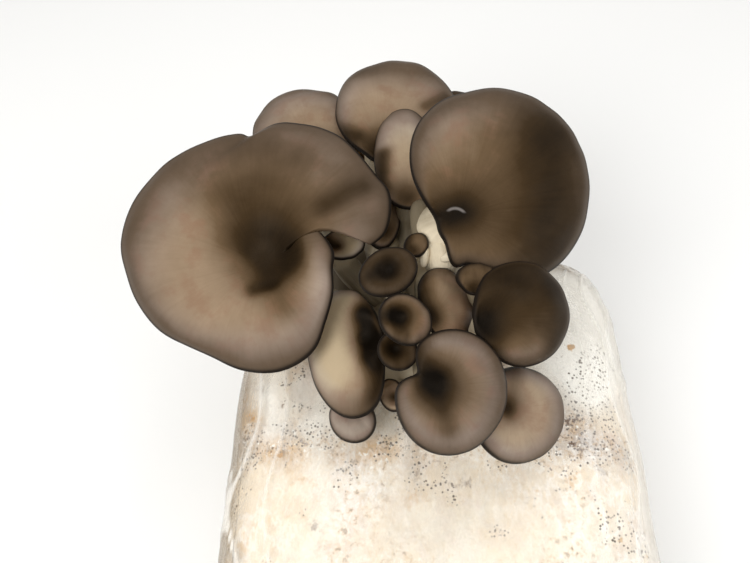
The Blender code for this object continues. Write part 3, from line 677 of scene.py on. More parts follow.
def block_material(settings):
    """White mycelium over sawdust, seen through film that lies on it.

    Cream cloud over white, then layers from the bottom up: blush, grey bruises, straw
    and rust stains and grains, partly painted shade along the block's edges and far
    corner, painted highlights in thin white streaks for the film's creases, crumbs
    with painted glints among them, blank patches and painted light, amber spots,
    moss, dark specks in crowds, and painted shade behind the cluster. The film's
    glossy look is a coat over it.
    """
    material, board, shader = new_material("mycelium")
    space = board.node("ShaderNodeTexCoord", output=3)
    held = {name: read(board, name, 2) for name in BLOCK_MARKS}
    cloud = space.noise(22.0, 5.0, 0.6)
    coarse = space.noise(9.0, 3.0, 0.5)
    fine = space.noise(160.0, 5.0, 0.65)
    crumb = space.noise(330.0, 3.0, 0.6)
    streaks = space.stretched((1.0, 0.5, 1.0)).noise(120.0, 4.0, 0.6)
    blush = space.noise(34.0, 4.0, 0.6).step(0.50, 0.68) * 0.5 + streaks.step(0.54, 0.70) * 0.4
    grey = space.noise(38.0, 5.0, 0.7).step(0.54, 0.72) * 0.45 + held["bruised"] * (0.3 + fine)
    straw = space.stretched((1.0, 1.0, 1.4)).noise(31.0, 6.0, 0.7)
    straw = straw.step(0.58, 0.68) * 0.6 + held["tanned"] * (straw.step(0.38, 0.56) + 0.2) * 0.8
    rust = space.stretched((1.3, 0.9, 1.0)).noise(54.0, 6.0, 0.7)
    rust = rust.step(0.62, 0.72) * 0.7 + held["tanned"] * rust.step(0.52, 0.62) * 0.6
    grains = fine.step(0.60, 0.70) * (0.35 + coarse.step(0.45, 0.6) * 0.5 + held["tanned"])
    # Painted highlights: thin white streaks for glints on the film's creases.
    ridge = (1.0 - (streaks - 0.5).math("ABSOLUTE") * 16.0).clamp()
    layers = [
        (blush, settings.blush), (grey * 0.8, settings.bruise), (straw, settings.straw),
        (rust, settings.stain), (grains, settings.straw),
        (ridge * coarse.step(0.40, 0.60) * 0.55, (1.0, 1.0, 1.0)),
        (crumb.step(0.52, 0.60) * held["crumbly"] * 0.55, settings.straw),
        (crumb.step(0.60, 0.68) * held["crumbly"] * 0.8, settings.stain),
        # The palest crumbs are painted glints on the crumpled film.
        (crumb.step(0.42, 0.34) * held["crumbly"], settings.bleached),
        # Pale patches, and painted light where the block is brightest.
        (held["bleached"] * 0.9, settings.bleached)]
    wander = (fine - 0.5) * 0.006 + (crumb - 0.5) * 0.005
    flat = space.stretched((1.0, 1.0, SPOT_FLATTENING))
    for x, y, radius in RUSTY_SPOTS:
        away = flat.distance((x / 1000, y / 1000, SPOT_LEVEL)) + wander
        layers.append((away.step(radius / 1000, radius / 2000) * 0.9, settings.amber))
    moss = (space.noise(620.0, 2.0, 0.6) + held["mossy"] * 0.13).step(0.60, 0.66) * held["mossy"]
    cells = space.node("ShaderNodeTexVoronoi", {"feature": "F1"}, {"Vector": space, "Scale": 540.0})
    crowd = (coarse * 0.55 + space.noise(45.0, 2.0, 0.5) * 0.6).step(0.52, 0.70) * 0.8
    crowd = (crowd + held["speckled"]).clamp()
    speck = (cells + (crumb - 0.5) * 0.7).step(0.36, 0.20) * (0.45 + fine * 0.9)
    speck = speck * (crowd * 1.3 + fine - 1.0).step(0.05, 0.20)
    # Painted shade behind the cluster, in dark brown.
    layers += [(moss, settings.stain), (speck, settings.speck), (held["wet"] * 1.6, settings.wet)]
    colour = cloud.step(0.38, 0.66).blend(settings.mycelium, settings.mycelium_cream)
    for amount, tint in layers:
        colour = amount.blend(colour, tint)
    board.feed(shader, {
        "Base Color": colour, "Roughness": 0.62, "Coat Weight": 0.35, "Coat Roughness": 0.12,
        "Normal": (fine + cloud).bump(0.0010, 0.5)})
    return material


def film_material(settings):
    """Clear film: see-through where it faces the eye, white along creases and glossy throughout.

    Its colour is white where it is creased and where FILM_WHITE says, and brown elsewhere.
    """
    material, board, shader = new_material("film")
    space = board.node("ShaderNodeTexCoord", output=3)
    fold = read(board, "fold", 2)
    wrinkle = space.stretched((1.0, 0.55, 1.0)).noise(85.0, 5.0, 0.7)
    sharp = (1.0 - (wrinkle - 0.5).math("ABSOLUTE") * 9.0).clamp()
    relief = (wrinkle + space.noise(260.0, 3.0, 0.6) * 0.25).bump(0.0016, 0.7)
    inside, near, low = (space.part(axis).step(*run) for axis, run in enumerate(FILM_WHITE))
    white = fold.step(0.15, 0.50) + inside * near + low
    board.feed(shader, {
        "Base Color": white.blend(settings.film_edge, settings.film),
        "Roughness": 0.10, "IOR": FILM_IOR, "Specular IOR Level": 1.0, "Normal": relief})
    edge = board.node("ShaderNodeFresnel", None, {"IOR": FILM_IOR, "Normal": relief})
    amount = (settings.film_body + edge * 0.45 + (fold * 0.5 + sharp * 0.10)).clamp()
    clear = board.node("ShaderNodeBsdfTransparent", None, {"Color": (1.0, 1.0, 1.0, 1.0)})
    glossy = Wire(board.tree, shader.outputs[0])
    mixed = board.node("ShaderNodeMixShader", None, {0: amount, 1: clear, 2: glossy})
    board.feed(board.tree.nodes["Material Output"], {"Surface": mixed})
    return material


def margin_reach(mushroom, angle):
    """How far the margin lies from the hub: a ray's far root on an offset ellipse, moved by the lobes."""
    turn = radians(mushroom.turn)
    a, b = mushroom.half
    ray = np.stack([np.cos(angle - turn) / a, np.sin(angle - turn) / b], axis=-1)
    mx, my = mushroom.middle
    middle = np.array([(mx * cos(turn) + my * sin(turn)) / a, (my * cos(turn) - mx * sin(turn)) / b])
    square = (ray ** 2).sum(-1)
    cross = ray @ middle
    reach = (cross + np.sqrt(cross ** 2 + square * (1.0 - middle @ middle))) / square
    for centre, share, width in mushroom.lobes:
        off = (np.degrees(angle) - centre + 180.0) % 360.0 - 180.0
        reach = reach * (1.0 + share * np.exp(-(off / width) ** 2))
    return reach


def cap_height(size, dish, droop, reach, distance, t):
    """Height over the hub: a dish, one less a bell curve, and a margin that falls with t cubed."""
    bowl = BOWL_BY_SIZE * size + BOWL
    fall = droop * np.minimum(reach / size, DROOP_REACH_LIMIT) ** DROOP_BY_REACH
    return dish * (1.0 - np.exp(-(distance / bowl) ** 2)) - fall * t ** 3


def cap_thickness(size, t):
    """Flesh that thins from the neck to the margin."""
    neck = NECK_THICKNESS_BY_SIZE * size + NECK_THICKNESS
    return MARGIN_THICKNESS + (neck - MARGIN_THICKNESS) * (1.0 - t) ** THINNING


def cap_frame(lean):
    """The cap's own axes: along +X, along +Y, and its normal."""
    normal = unit((lean[0], lean[1], 1.0))
    along = unit(np.array([1.0, 0.0, 0.0]) - normal[0] * normal)
    return along, np.cross(normal, along), normal


def to_world(hub, axes, local):
    """Points in a cap's plane to world points."""
    along, across, normal = axes
    return np.array(hub) + local[..., :1] * along + local[..., 1:2] * across + local[..., 2:] * normal


def round_plan(mushroom, turn, q):
    """Angle, distance, reach, t and extra height of a round cap's surface.

    Inside the neck, t is 0 and the distance grows from 0. Beyond it the rays run
    straight to the margin, where t is 1.
    """
    angle = 2 * pi * turn
    reach = margin_reach(mushroom, angle)
    neck = np.minimum(NECK_BY_STEM * mushroom.stem, NECK_BY_REACH * reach)
    t = np.clip((q - NECK_SHARE) / (1.0 - NECK_SHARE), 0.0, 1.0)
    distance = neck * np.minimum(q / NECK_SHARE, 1.0) + (reach - neck) * t
    return angle + 0.0 * q, distance, reach + 0.0 * q, t + 0.0 * turn, 0.0 * distance


def through_knots(place, values):
    """A curve through evenly spaced knots.

    In each span it is the cubic whose slopes are the neighbours' half difference.
    """
    values = np.asarray(values, float)
    low = np.clip(np.floor(place).astype(int), 0, len(values) - 2)
    share = place - low
    before = values[np.maximum(low - 1, 0)]
    after = values[np.minimum(low + 2, len(values) - 1)]
    one, two = values[low], values[low + 1]
    rise, fall = (two - before) / 2, (after - one) / 2
    bend = 3 * (two - one) - 2 * rise - fall
    return one + share * (rise + share * (bend + share * (rise + fall - 2 * (two - one))))


def kidney_plan(turn, q):
    """The same for the kidney, whose rays swing from an even fan to the margin's own angles.

    The cleft opens as a slot that widens over the first fifth of the way out. The
    lower lip rises over it and the upper lip falls.
    """
    t = np.clip((q - NECK_SHARE) / (1.0 - NECK_SHARE), 0.0, 1.0)
    angles, reaches = np.array(KIDNEY_MARGIN, float).T
    place = turn * (len(angles) - 1)
    end_angle = np.radians(through_knots(place, angles))
    even = np.convolve(np.pad(reaches, 2, mode="edge"), np.array([1, 2, 3, 2, 1]) / 9, mode="valid")
    notches = through_knots(place, reaches - even) / 1000
    reach = through_knots(place, even) / 1000 + notches * t ** KIDNEY_NOTCH_POWER
    slot = radians(KIDNEY_SLOT_ANGLE) * smooth(t / KIDNEY_SLOT_RUN)
    fan = radians(KIDNEY_CLEFT_ANGLE) + slot + (2 * pi - 2 * slot) * turn
    angle = fan + (end_angle - fan) * ramp(t, KIDNEY_SWING_START, 1.0 - KIDNEY_SWING_START)
    distance = KIDNEY_NECK * np.minimum(q / NECK_SHARE, 1.0) + (reach - KIDNEY_NECK) * t
    lift = KIDNEY_LOWER_LIFT * ramp(turn, KIDNEY_LOWER_LIP, 1.0 - KIDNEY_LOWER_LIP)
    lips = lift - KIDNEY_UPPER_FALL * ramp(turn, KIDNEY_UPPER_LIP, -KIDNEY_UPPER_LIP)
    return angle, distance, reach + 0.0 * q, t + 0.0 * turn, lips * smooth(t / KIDNEY_LIP_RUN)


def plan(mushroom, turn, q):
    """The kidney's plan, or a round cap's."""
    return kidney_plan(turn, q) if mushroom is KIDNEY else round_plan(mushroom, turn, q)


def gill_relief(turn, t, gills):
    """How far the underside is cut away between gills, 0 on a gill and 1 between.

    Every fourth gill runs the whole way, the next ones start a quarter of the way
    out, and the rest half way. Four columns make one gill.
    """
    column = np.round(turn * gills * 4).astype(int)
    gill = column // 4
    start = np.where(gill % 4 == 0, -1.0, np.where(gill % 2 == 0, *GILL_STARTS))
    blade = 1.0 - ramp(t, start, GILL_START_RUN)
    return np.where(column % 4 == 0, blade, np.array(GILL_SECTION)[column % 4])


def cap_rows(rows):
    """How far out each row of a cap lies: one less a power, so that they crowd toward the margin."""
    return 1.0 - (1.0 - np.linspace(0.0, 1.0, rows)[:, None]) ** ROW_CROWDING


def cap_shade(mushroom, x, y, angle, distance, t):
    """How dark the skin is.

    It falls from the hub's to the skin's as a bell curve with a blunt top. Strokes and
    the far edge are added, and a soft limit keeps the sum below the darkest. The dark
    is partly the skin's own colour and partly painted shade, in the hub's hollow and
    where the skin turns from the light; a stroke with a negative amount is partly
    painted light.
    """
    hub = np.exp(-(distance / (mushroom.spread * mushroom.size)) ** HUB_BLUNTNESS)
    dark = mushroom.dark_skin + (mushroom.dark_hub - mushroom.dark_skin) * hub
    dark = dark + sum(along_line(x, y, stroke) for stroke in mushroom.strokes)
    dark = dark + mushroom.edge * ramp(t, *EDGE_RUN) * (0.5 - 0.5 * np.cos(angle)) ** 2
    return dark - DARK_SOFTNESS * np.log1p(np.exp((dark - mushroom.darkest) / DARK_SOFTNESS))


def cap_side(mushroom, settings, turn, gills, rows, under):
    """The points of a cap's top, or with under 1 of its underside, and what its material reads there.

    The skin waves more toward the margin as sines of the angle, its edge is rounded
    over by an arc, and the underside is cut between the gills.
    """
    size = mushroom.size
    seed = int(abs(mushroom.hub[0]) * 1e4 + abs(mushroom.hub[1]) * 1e3)
    phases = 2 * pi * np.random.default_rng(seed).uniform(size=4)
    q = cap_rows(rows)[::-1] if under else cap_rows(rows)
    angle, distance, reach, t, lift = plan(mushroom, turn, q)
    growth = settings.margin_growth * min(size / FULL_GROWTH_SIZE, 1.0)
    distance = distance + growth * t ** 2
    reach = reach + growth
    x, y = distance * np.cos(angle), distance * np.sin(angle)
    height = cap_height(size, mushroom.dish, mushroom.droop, reach, distance, t) + lift
    wave = sum(amount * np.sin(count * angle + phase) for (count, amount), phase in zip(MARGIN_WAVES, phases))
    height = height + settings.margin_wave * size * t ** 2 * wave
    height = height - settings.margin_roll * size * ramp(t, *ROLL_RUN) ** 2
    beyond_neck = smooth(q / NECK_SHARE)
    for fold in mushroom.folds:
        height = height + along_line(x, y, fold) * beyond_neck
    flat = np.stack([x, y, 0.0 * x], axis=-1)
    lumps = ripple(flat, SKIN_LUMP_BY_SIZE * size + SKIN_LUMP, seed)
    height = height + settings.skin_relief * lumps * smooth(q * 2.0)
    thick = cap_thickness(size, t)
    edge = 1.0 - np.minimum(MARGIN_THICKNESS / reach, 0.5)
    arc = np.sqrt(1.0 - np.clip((t - edge) / (1.0 - edge), 0.0, 1.0) ** 2)
    if mushroom is KIDNEY:
        width = np.minimum(turn, 1.0 - turn) * 2 * pi * distance / (LIP_RADIUS_SHARE * MARGIN_THICKNESS)
        lip = np.sqrt(1.0 - (1.0 - np.clip(width, 0.0, 1.0)) ** 2)
        arc = arc * np.where(t > 0.0, lip, 1.0)
    height = height - thick * 0.5 * (1.0 + arc if under else 1.0 - arc)
    cut = gill_relief(turn, t, gills) * under * ramp(t, *GILL_END)
    deep = (thick - LEAST_FLESH) * settings.gill_depth * (0.30 + 0.70 * smooth(t / 0.3)) * beyond_neck
    height = height + cut * deep * arc
    local = np.stack([x, y, height], axis=-1)
    profile = 2.0 - q if under else q
    return {
        "points": to_world(mushroom.hub, cap_frame(mushroom.lean), local),
        "radial": np.stack([np.cos(angle), np.sin(angle), profile + 0.0 * angle], axis=-1),
        "shade": cap_shade(mushroom, x, y, angle, distance, t),
        "gill": cut,
        "rim": np.clip(1.6 * np.exp(-((reach - distance) / settings.rim_width) ** 2), 0.0, 1.0),
        "cool": mushroom.cool + 0.0 * x,
    }


def cap_grids(mushroom, settings):
    """Grids of a cap's top and underside and what its material reads, with a wall at the kidney's cleft."""
    size = mushroom.size
    big = ramp(size, *CAP_SIZES)
    spacing = settings.gill_spacing * (1.0 + GILL_WIDENING * (1.0 - big))
    gills = int(round(2 * pi * size / spacing / 4)) * 4
    turn = np.linspace(0.0, 1.0, gills * 4 + 1)[None, :]
    top_rows, under_rows = (int(least + more * big) for least, more in (TOP_ROWS, UNDER_ROWS))
    if mushroom is KIDNEY:
        under_rows = top_rows
    sides = [cap_side(mushroom, settings, turn, gills, rows, under)
             for under, rows in enumerate((top_rows, under_rows))]
    layers = {key: [side[key] for side in sides] for key in sides[0]}
    if mushroom is KIDNEY:
        last_whole = int((cap_rows(top_rows) <= NECK_SHARE).sum()) - 1
        for layer in layers.values():
            layer.append(crotch(*layer, last_whole))
    return layers.pop("points"), layers


def crotch(top, under, row):
    """The wall where the cleft ends, from the last whole row to the first that the cleft parts."""
    mirrored = under[::-1]
    return np.array([[top[row, 0], top[row + 1, 0]], [top[row + 1, -1], mirrored[row, 0]]])


def bezier_weights(steps):
    """Weights of the four control points at steps along a Bezier curve."""
    s = np.asarray(steps, float)[:, None]
    return np.hstack([(1 - s) ** 3, 3 * s * (1 - s) ** 2, 3 * s ** 2 * (1 - s), s ** 3])


def bezier_slopes(steps):
    """Weights of the four control points in the curve's direction."""
    s = np.asarray(steps, float)[:, None]
    return np.hstack([-(1 - s) ** 2, (1 - s) * (1 - 3 * s), s * (2 - 3 * s), s ** 2])


def pushed_apart(points, need):
    """How far each point moves away from those that are nearer to it than they need to be."""
    away = points[:, None] - points[None, :]
    distance = np.linalg.norm(away, axis=-1) + TOUCHING
    push = np.clip(need - distance, 0.0, None) / distance
    return (away * push[..., None]).sum(1)


def part_starts(aims, radii):
    """Directions in which the stems leave the base: toward their caps, pushed apart."""
    starts = aims.copy()
    feet = radii * (1.0 + FOOT_SWELL)
    need = (feet[:, None] + feet[None, :] + STEM_CLEARANCE) / BASE_RADII.mean()
    for _ in range(PUSH_ROUNDS):
        starts = starts + START_PUSH * pushed_apart(starts, need) + START_PULL * (aims - starts)
        starts[:, 2] = np.maximum(starts[:, 2], START_LOWEST)
        starts = unit(starts)
    return starts


def part_stems(control, radii):
    """Bend the stems away from each other where two would touch."""
    steps = STEM_PUSH_STEPS
    weights = bezier_weights(steps)
    count = len(control)
    owner = np.repeat(np.arange(count), len(steps))
    thick = radii[:, None] * (1.0 + FOOT_SWELL * (1.0 - steps) + FLARE_ROOM * steps ** FLARE_POWER)
    thick = thick.ravel()
    need = thick[:, None] + thick[None, :] + STEM_CLEARANCE
    need[owner[:, None] == owner[None, :]] = 0.0
    for _ in range(PUSH_ROUNDS):
        line = np.einsum("sc,ncx->nsx", weights, control).reshape(-1, 3)
        shift = pushed_apart(line, need).reshape(count, len(steps), 3)
        bend = np.einsum("sc,nsx->ncx", weights, shift)
        control[:, 1:3] += STEM_PUSH * bend[:, 1:3]
    return control


def stem_controls():
    """Bezier control points of all stems, from inside the base to under each cap."""
    axes = [cap_frame(mushroom.lean) for mushroom in GROWN]
    normals = np.array([axis[2] for axis in axes])
    hubs = np.array([mushroom.hub for mushroom in GROWN])
    radii = np.array([mushroom.stem for mushroom in GROWN])
    bows = np.array([mushroom.bow for mushroom in GROWN])
    depths = np.array([cap_thickness(mushroom.size, 0.0) for mushroom in GROWN])[:, None]
    roots = hubs - normals * (depths + GAP)
    aims = unit(hubs - BASE_CENTRE)
    starts = part_starts(unit(aims * START_FLATTENING), radii)
    first = BASE_CENTRE + START_DEPTH * BASE_RADII * starts
    reach = np.linalg.norm(roots - first, axis=1, keepdims=True)
    leave = first + starts * reach * LEAVE_SHARE
    arrive = roots - unit(normals * CAP_PULL + UPWARD) * reach * ARRIVE_SHARE
    control = part_stems(np.stack([first, leave + bows, arrive + bows, roots], axis=1), radii)
    return dict(zip([mushroom.name for mushroom in GROWN], control))


def neck_cup(mushroom, turn, q):
    """The cap's underside within its neck, which the stem's top fills, with the gap between them."""
    angle, distance, reach, t, lift = plan(mushroom, turn, q)
    height = cap_height(mushroom.size, mushroom.dish, mushroom.droop, reach, distance, t) + lift
    height = height - cap_thickness(mushroom.size, 0.0) - GAP
    return np.stack([distance * np.cos(angle), distance * np.sin(angle), height], axis=-1)


def marked(grid, brown):
    """How dark the flesh is in painted shade, with the painted shade and light of the marks that lie across
    it.
    """
    marks = sum(along_line(grid[..., 0], grid[..., 1], mark) for mark in STEM_PAINTED_LIGHT_AND_SHADE)
    return np.clip(brown + marks, 0.0, 1.0)


def stem_frames(tangents, axes):
    """Two directions across the stem at each step, carried down from the cap's by the least turns."""
    along, across, before = axes
    frames = []
    for tangent in tangents[::-1]:
        axis = np.cross(before, tangent)
        least = float(np.arctan2(np.linalg.norm(axis), before @ tangent))
        if least > LEAST_TURN:
            matrix = np.array(Matrix.Rotation(least, 3, axis.tolist()))
            along, across, before = matrix @ along, matrix @ across, tangent
        frames.append((along, across))
    return np.array(frames[::-1])


def stem_grids(mushroom, control, settings):
    """A stem from the base to its cap, and its lumps.

    Its section is a circle round the Bezier curve, thicker at the foot and flaring to
    the neck with the sixth power of the way up. Low ridges run down it from the
    gills, and it swells and wanders a little.
    """
    axes = cap_frame(mushroom.lean)
    steps = np.linspace(0.0, 1.0, settings.stem_rows)
    s = steps[:, None]
    turn = np.linspace(0.0, 1.0, settings.stem_columns + 1)
    angle = 2 * pi * turn[None, :]
    centres = bezier_weights(steps) @ control
    frames = stem_frames(unit(bezier_slopes(steps) @ control), axes)
    cup = neck_cup(mushroom, turn[None, :], np.linspace(NECK_SHARE, 0.0, STEM_CUP_ROWS)[:, None])
    cup = to_world(mushroom.hub, axes, cup)
    ring = cup[0]
    neck = np.linalg.norm(ring[:-1] - ring[:-1].mean(0), axis=1).mean()
    thick = mushroom.stem * (1.0 + FOOT_SWELL * (1.0 - s)) + (neck - mushroom.stem) * s ** FLARE_POWER
    seed = int(abs(mushroom.hub[0]) * 1e4) + 7
    ridge = np.abs(np.sin(angle * settings.stem_ridges / 2)) ** 0.7
    groove = ridge * ramp(s, *GROOVE_RISE) * (1.0 - ramp(s, *GROOVE_END))
    circle = np.stack([np.cos(angle) + 0.0 * s, np.sin(angle) + 0.0 * s, 0.6 * s + 0.0 * angle], axis=-1)
    lumps = 0.07 * ripple(circle, 2.2, seed)
    lumps = lumps + 0.025 * ripple(circle * np.array([1.0, 1.0, 0.2]), 0.5, seed + 1)
    meet = ramp(s, *MEETING_RUN)
    thick = thick * (1.0 + (mushroom.fleshy - 1.0) * smooth(s / 0.3) * (1.0 - meet))
    thick = thick * (1.0 + lumps * np.sin(pi * s) ** 0.5) - groove * settings.stem_groove * mushroom.stem
    body = centres[:, None] + thick[..., None] * (
        np.cos(angle)[..., None] * frames[:, None, 0] + np.sin(angle)[..., None] * frames[:, None, 1])
    body = body + (ring[None] - body) * meet[..., None] ** 2
    foot = np.repeat(body[:1].mean(1, keepdims=True), settings.stem_columns + 1, axis=1)
    grid = np.concatenate([foot, body, cup[1:]])
    grid[:, -1] = grid[:, 0]
    v = np.concatenate([[0.0], steps, np.ones(STEM_CUP_ROWS - 1)])[:, None] + 0.0 * angle
    radial = np.stack([np.cos(angle) + 0.0 * v, np.sin(angle) + 0.0 * v, v], axis=-1)
    groove = np.concatenate([groove[:1], groove, 0.0 * angle + np.zeros((STEM_CUP_ROWS - 1, 1))])
    # Painted shade on the stem: its own amount, less toward the cap, and full toward the foot.
    stem_painted_shade = np.maximum(mushroom.stem_painted_shade * (1.0 - 0.4 * ramp(v, 0.7, 0.3)), ramp(v, *FOOT_SHADING))
    grids = [grid[::-1]]
    values = {"radial": [radial[::-1]], "gill": [groove[::-1]], "shade": [marked(grid, stem_painted_shade)[::-1]]}
    for number, (start, end, radii, brown) in enumerate(mushroom.lumps):
        lump, around = flesh_lump(start, end, radii, seed + number)
        grids.append(lump)
        values["radial"].append(around)
        values["gill"].append(0.0 * lump[..., 0])
        values["shade"].append(marked(lump, brown))
    return grids, values


def brick_form(cube):
    """Points of the unit cube's surface drawn to the unit brick.

    Each coordinate crowds toward the edges as a sine, and the point is drawn to where
    the coordinates' powers add up to one.
    """
    crowded = np.sin(cube * pi / 2)
    return crowded / (np.abs(crowded) ** SQUARENESS).sum(-1, keepdims=True) ** (1 / SQUARENESS)


def brick_point(cube, inset):
    """The brick's points in metres, with its underside cut flat."""
    x, y, z = np.moveaxis(brick_form(cube), -1, 0)
    half_height = (THICKNESS + FLAT_SINK) / 2 - inset
    x = x * (HALF_WIDTH - inset)
    y = y * (HALF_LENGTH - inset)
    z = (z + 1.0) * half_height - FLAT_SINK + inset
    return np.stack([x, y, np.maximum(z, inset)], axis=-1)


def brick_grid(around, rows, hole, inset):
    """A grid over the brick: out from a hole in the top to its edge, down the sides and in under it.

    The columns follow the square's border, and on the top each row lies part of the
    way between the hole's oval and the border.
    """
    side = np.linspace(-1.0, 1.0, around + 1)[:-1]
    one = np.ones_like(side)
    sides = ((one, side), (-side, one), (-one, -side), (side, -one))
    border = np.concatenate([np.stack(pair, -1) for pair in sides])
    border = np.concatenate([border, border[:1]])
    angle = np.arctan2(border[:, 1], border[:, 0])
    oval = np.stack([BASE_CENTRE[0] + hole * CUT_HALF_LENGTH * np.cos(angle),
                     BASE_CENTRE[1] + hole * CUT_HALF_WIDTH * np.sin(angle)], axis=-1)
    oval = np.arcsin(np.clip(oval / np.array([HALF_WIDTH, HALF_LENGTH]), -1.0, 1.0)) * 2 / pi
    top_rows, side_rows, under_rows = rows
    t = np.linspace(0.0, 1.0, top_rows)[:, None, None]
    top = oval + (border - oval) * t
    top = np.concatenate([top, np.ones_like(top[..., :1])], axis=-1)
    z = np.linspace(1.0, -1.0, side_rows)[1:-1, None, None]
    walls = np.concatenate([border[None] + 0.0 * z, z + 0.0 * border[None, :, :1]], axis=-1)
    t = np.linspace(1.0, 0.0, under_rows)[:, None, None]
    under = np.concatenate([border[None] * t, -1.0 + 0.0 * t * border[None, :, :1]], axis=-1)
    cube = np.concatenate([top, walls, under])
    return cube, brick_point(cube, inset)


def brick_normal(cube):
    """Outward directions of the brick: each coordinate to the squareness less one."""
    form = brick_form(cube)
    slope = np.sign(form) * np.abs(form) ** (SQUARENESS - 1)
    return unit(slope / np.array([HALF_WIDTH, HALF_LENGTH, THICKNESS / 2]))


def tapered(points):
    """The brick a little narrower toward its far end."""
    narrow = 1.0 - TAPER * ramp(points[..., 1:2], TAPER_START, TAPER_RUN)
    return np.concatenate([points[..., :1] * narrow, points[..., 1:]], axis=-1)


def sag(points):
    """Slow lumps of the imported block, gone where it rests."""
    return SAG_HEIGHT * ripple(points, SAG_LENGTH, 31) * ramp(points[..., 2], *SAG_RISE)


def block_piece():
    """The block: the brick moved out by slow lumps and a fine crumb, with its marks fading down its sides."""
    cube, points = brick_grid(*BLOCK_GRID, 0.0, BLOCK_INSET)
    crumb = CRUMB_HEIGHT * ripple(points, CRUMB_LENGTH, 5) * ramp(points[..., 2], *CRUMB_RISE)
    height = sag(points) - BLOCK_SHRINK + crumb
    points = tapered(points + brick_normal(cube) * height[..., None])
    x, y, z = np.moveaxis(points, -1, 0)
    above = ramp(z, *MARKS_RISE)
    values = {name: [above * sum(along_line(x, y, mark) for mark in marks)]
              for name, marks in BLOCK_MARKS.items()}
    near_end = smooth((0.010 - y) / 0.02) * above
    values["crumbly"][0] += near_end * (0.45 + 0.35 * ripple(points, 0.05, 77))
    return woven("mycelium_block", [points], values)


def film_fin():
    """The film's sealed fin: a pleated strip that droops with the square of the way out."""
    columns, rows = FIN_GRID
    across = np.linspace(-1.0, 1.0, columns)[None, :]
    out = np.linspace(0.0, 1.0, rows)[:, None]
    pleat = np.sin(across * 23 + 2.0 * np.sin(across * 5)) * (0.3 + 0.7 * (1.0 - out))
    fin = np.stack([
        across * FIN_HALF_WIDTH * (1.0 - 0.03 * out),
        FIN_ROOT_Y - FIN_LENGTH * out + 0.0008 * np.sin(across * 9),
        FIN_HEIGHT - FIN_DROOP * out ** 2 + 0.002 * out * np.cos(across * 2 * pi) + PLEAT_HEIGHT * pleat,
    ], axis=-1)
    seal = np.exp(-((out - SEAL_PLACE) / SEAL_WIDTH) ** 2) + 0.0 * across
    return fin, np.clip(0.25 + 0.3 * pleat + 0.4 * seal, 0.0, 1.0)


def film_piece(settings):
    """The film: the brick moved out by creases, standing up round the cut, and its sealed fin.

    Creases run along the two long edges, where the film's gussets fold. Sharp ones
    crowd at the corners and ends, soft ones fan out from the cut, and the torn edge
    of the cut curls up in a ragged lip. Each crease is a bell curve across its line.
    """
    cube, points = brick_grid(*FILM_GRID, 1.0, 0.0)
    x, y, z = np.moveaxis(points, -1, 0)
    side = np.abs(x) - HALF_WIDTH + GUSSET_INSET - (THICKNESS - z) * GUSSET_SLANT
    fold = np.zeros_like(x)
    for number, (offset, width, amount) in enumerate(GUSSET_CREASES):
        wander = GUSSET_WANDER * ripple(points * np.array([0.3, 1.0, 0.3]), 0.07, 41 + number)
        line = np.exp(-((side + offset + wander) / width) ** 2)
        fold = fold + amount * line * ramp(z, *GUSSET_RISE)
    corner = ramp(np.abs(y), 0.085, 0.035) * ramp(np.abs(x), 0.05, 0.05)
    loose = 0.20 + 0.8 * np.maximum(corner, 0.7 * ramp(np.abs(y), 0.100, 0.025))
    crumple = crease(points * np.array([1.0, 0.7, 1.2]), 0.030, 51) * loose
    crumple = crumple + 0.5 * crease(points, 0.013, 52) * loose
    beyond = np.hypot((x - BASE_CENTRE[0]) / CUT_HALF_LENGTH, (y - BASE_CENTRE[1]) / CUT_HALF_WIDTH) - 1.0
    on_top = ramp(z, *TOP_RISE)
    angle = np.arctan2(y - BASE_CENTRE[1], x - BASE_CENTRE[0])
    fan = np.clip(np.sin(angle * 11 + 1.6 * np.sin(3 * angle)), 0.0, 1.0) ** 3
    fan = fan * np.exp(-beyond / 0.7) * smooth(beyond / 0.2) * on_top
    ragged = 1.0 + 0.5 * np.sin(7 * angle + 0.7) + 0.4 * np.sin(17 * angle + 2.1)
    lip = np.exp(-(beyond / LIP_WIDTH) ** 2) * on_top * ragged
    creases = ramp(z, *CREASE_RISE) * (0.9 * fold + 0.55 * crumple + 0.6 * fan)
    height = sag(points) + settings.crease_height * creases
    points = points + brick_normal(cube) * height[..., None]
    points = tapered(points + LIP_HEIGHT * np.clip(lip, 0.0, None)[..., None] * UPWARD)
    shine = np.clip(fold + 0.8 * crumple ** 2 + fan + 0.4 * lip, 0.0, 1.0)
    fin, fin_shine = film_fin()
    return woven("film", [points, fin], {"fold": [shine, fin_shine]})


def sealed(grid):
    """A grid whose last column is its first one, and whose end rows are points."""
    grid[:, -1] = grid[:, 0]
    grid[0] = grid[0, 0]
    grid[-1] = grid[-1, 0]
    return grid


def flesh_lump(start, end, radii, seed):
    """A smooth lump of flesh between two places, with a radius at each, and the directions round it."""
    columns, rows = LUMP_GRID
    u = np.linspace(0.0, 2 * pi, columns)[None, :]
    v = np.linspace(0.0, pi, rows)[:, None]
    share = (1.0 - np.cos(v)) / 2
    run = np.array(end) - np.array(start)
    across = unit(np.cross(run, (1.0, 0.0, 0.0)))
    around = np.cos(u)[..., None] * across + np.sin(u)[..., None] * unit(np.cross(run, across))
    width = (radii[0] + (radii[1] - radii[0]) * share) * np.sin(v) ** 0.7
    lumps = 0.05 * ripple(around + 0.0 * share[..., None], 1.4, seed) + 0.03 * np.cos(5 * share + u)
    width = width * (1.0 + lumps)
    grid = sealed(np.array(start) + share[..., None] * run + width[..., None] * around)
    return grid, np.stack([np.cos(u) + 0.0 * v, np.sin(u) + 0.0 * v, share + 0.0 * u], axis=-1)


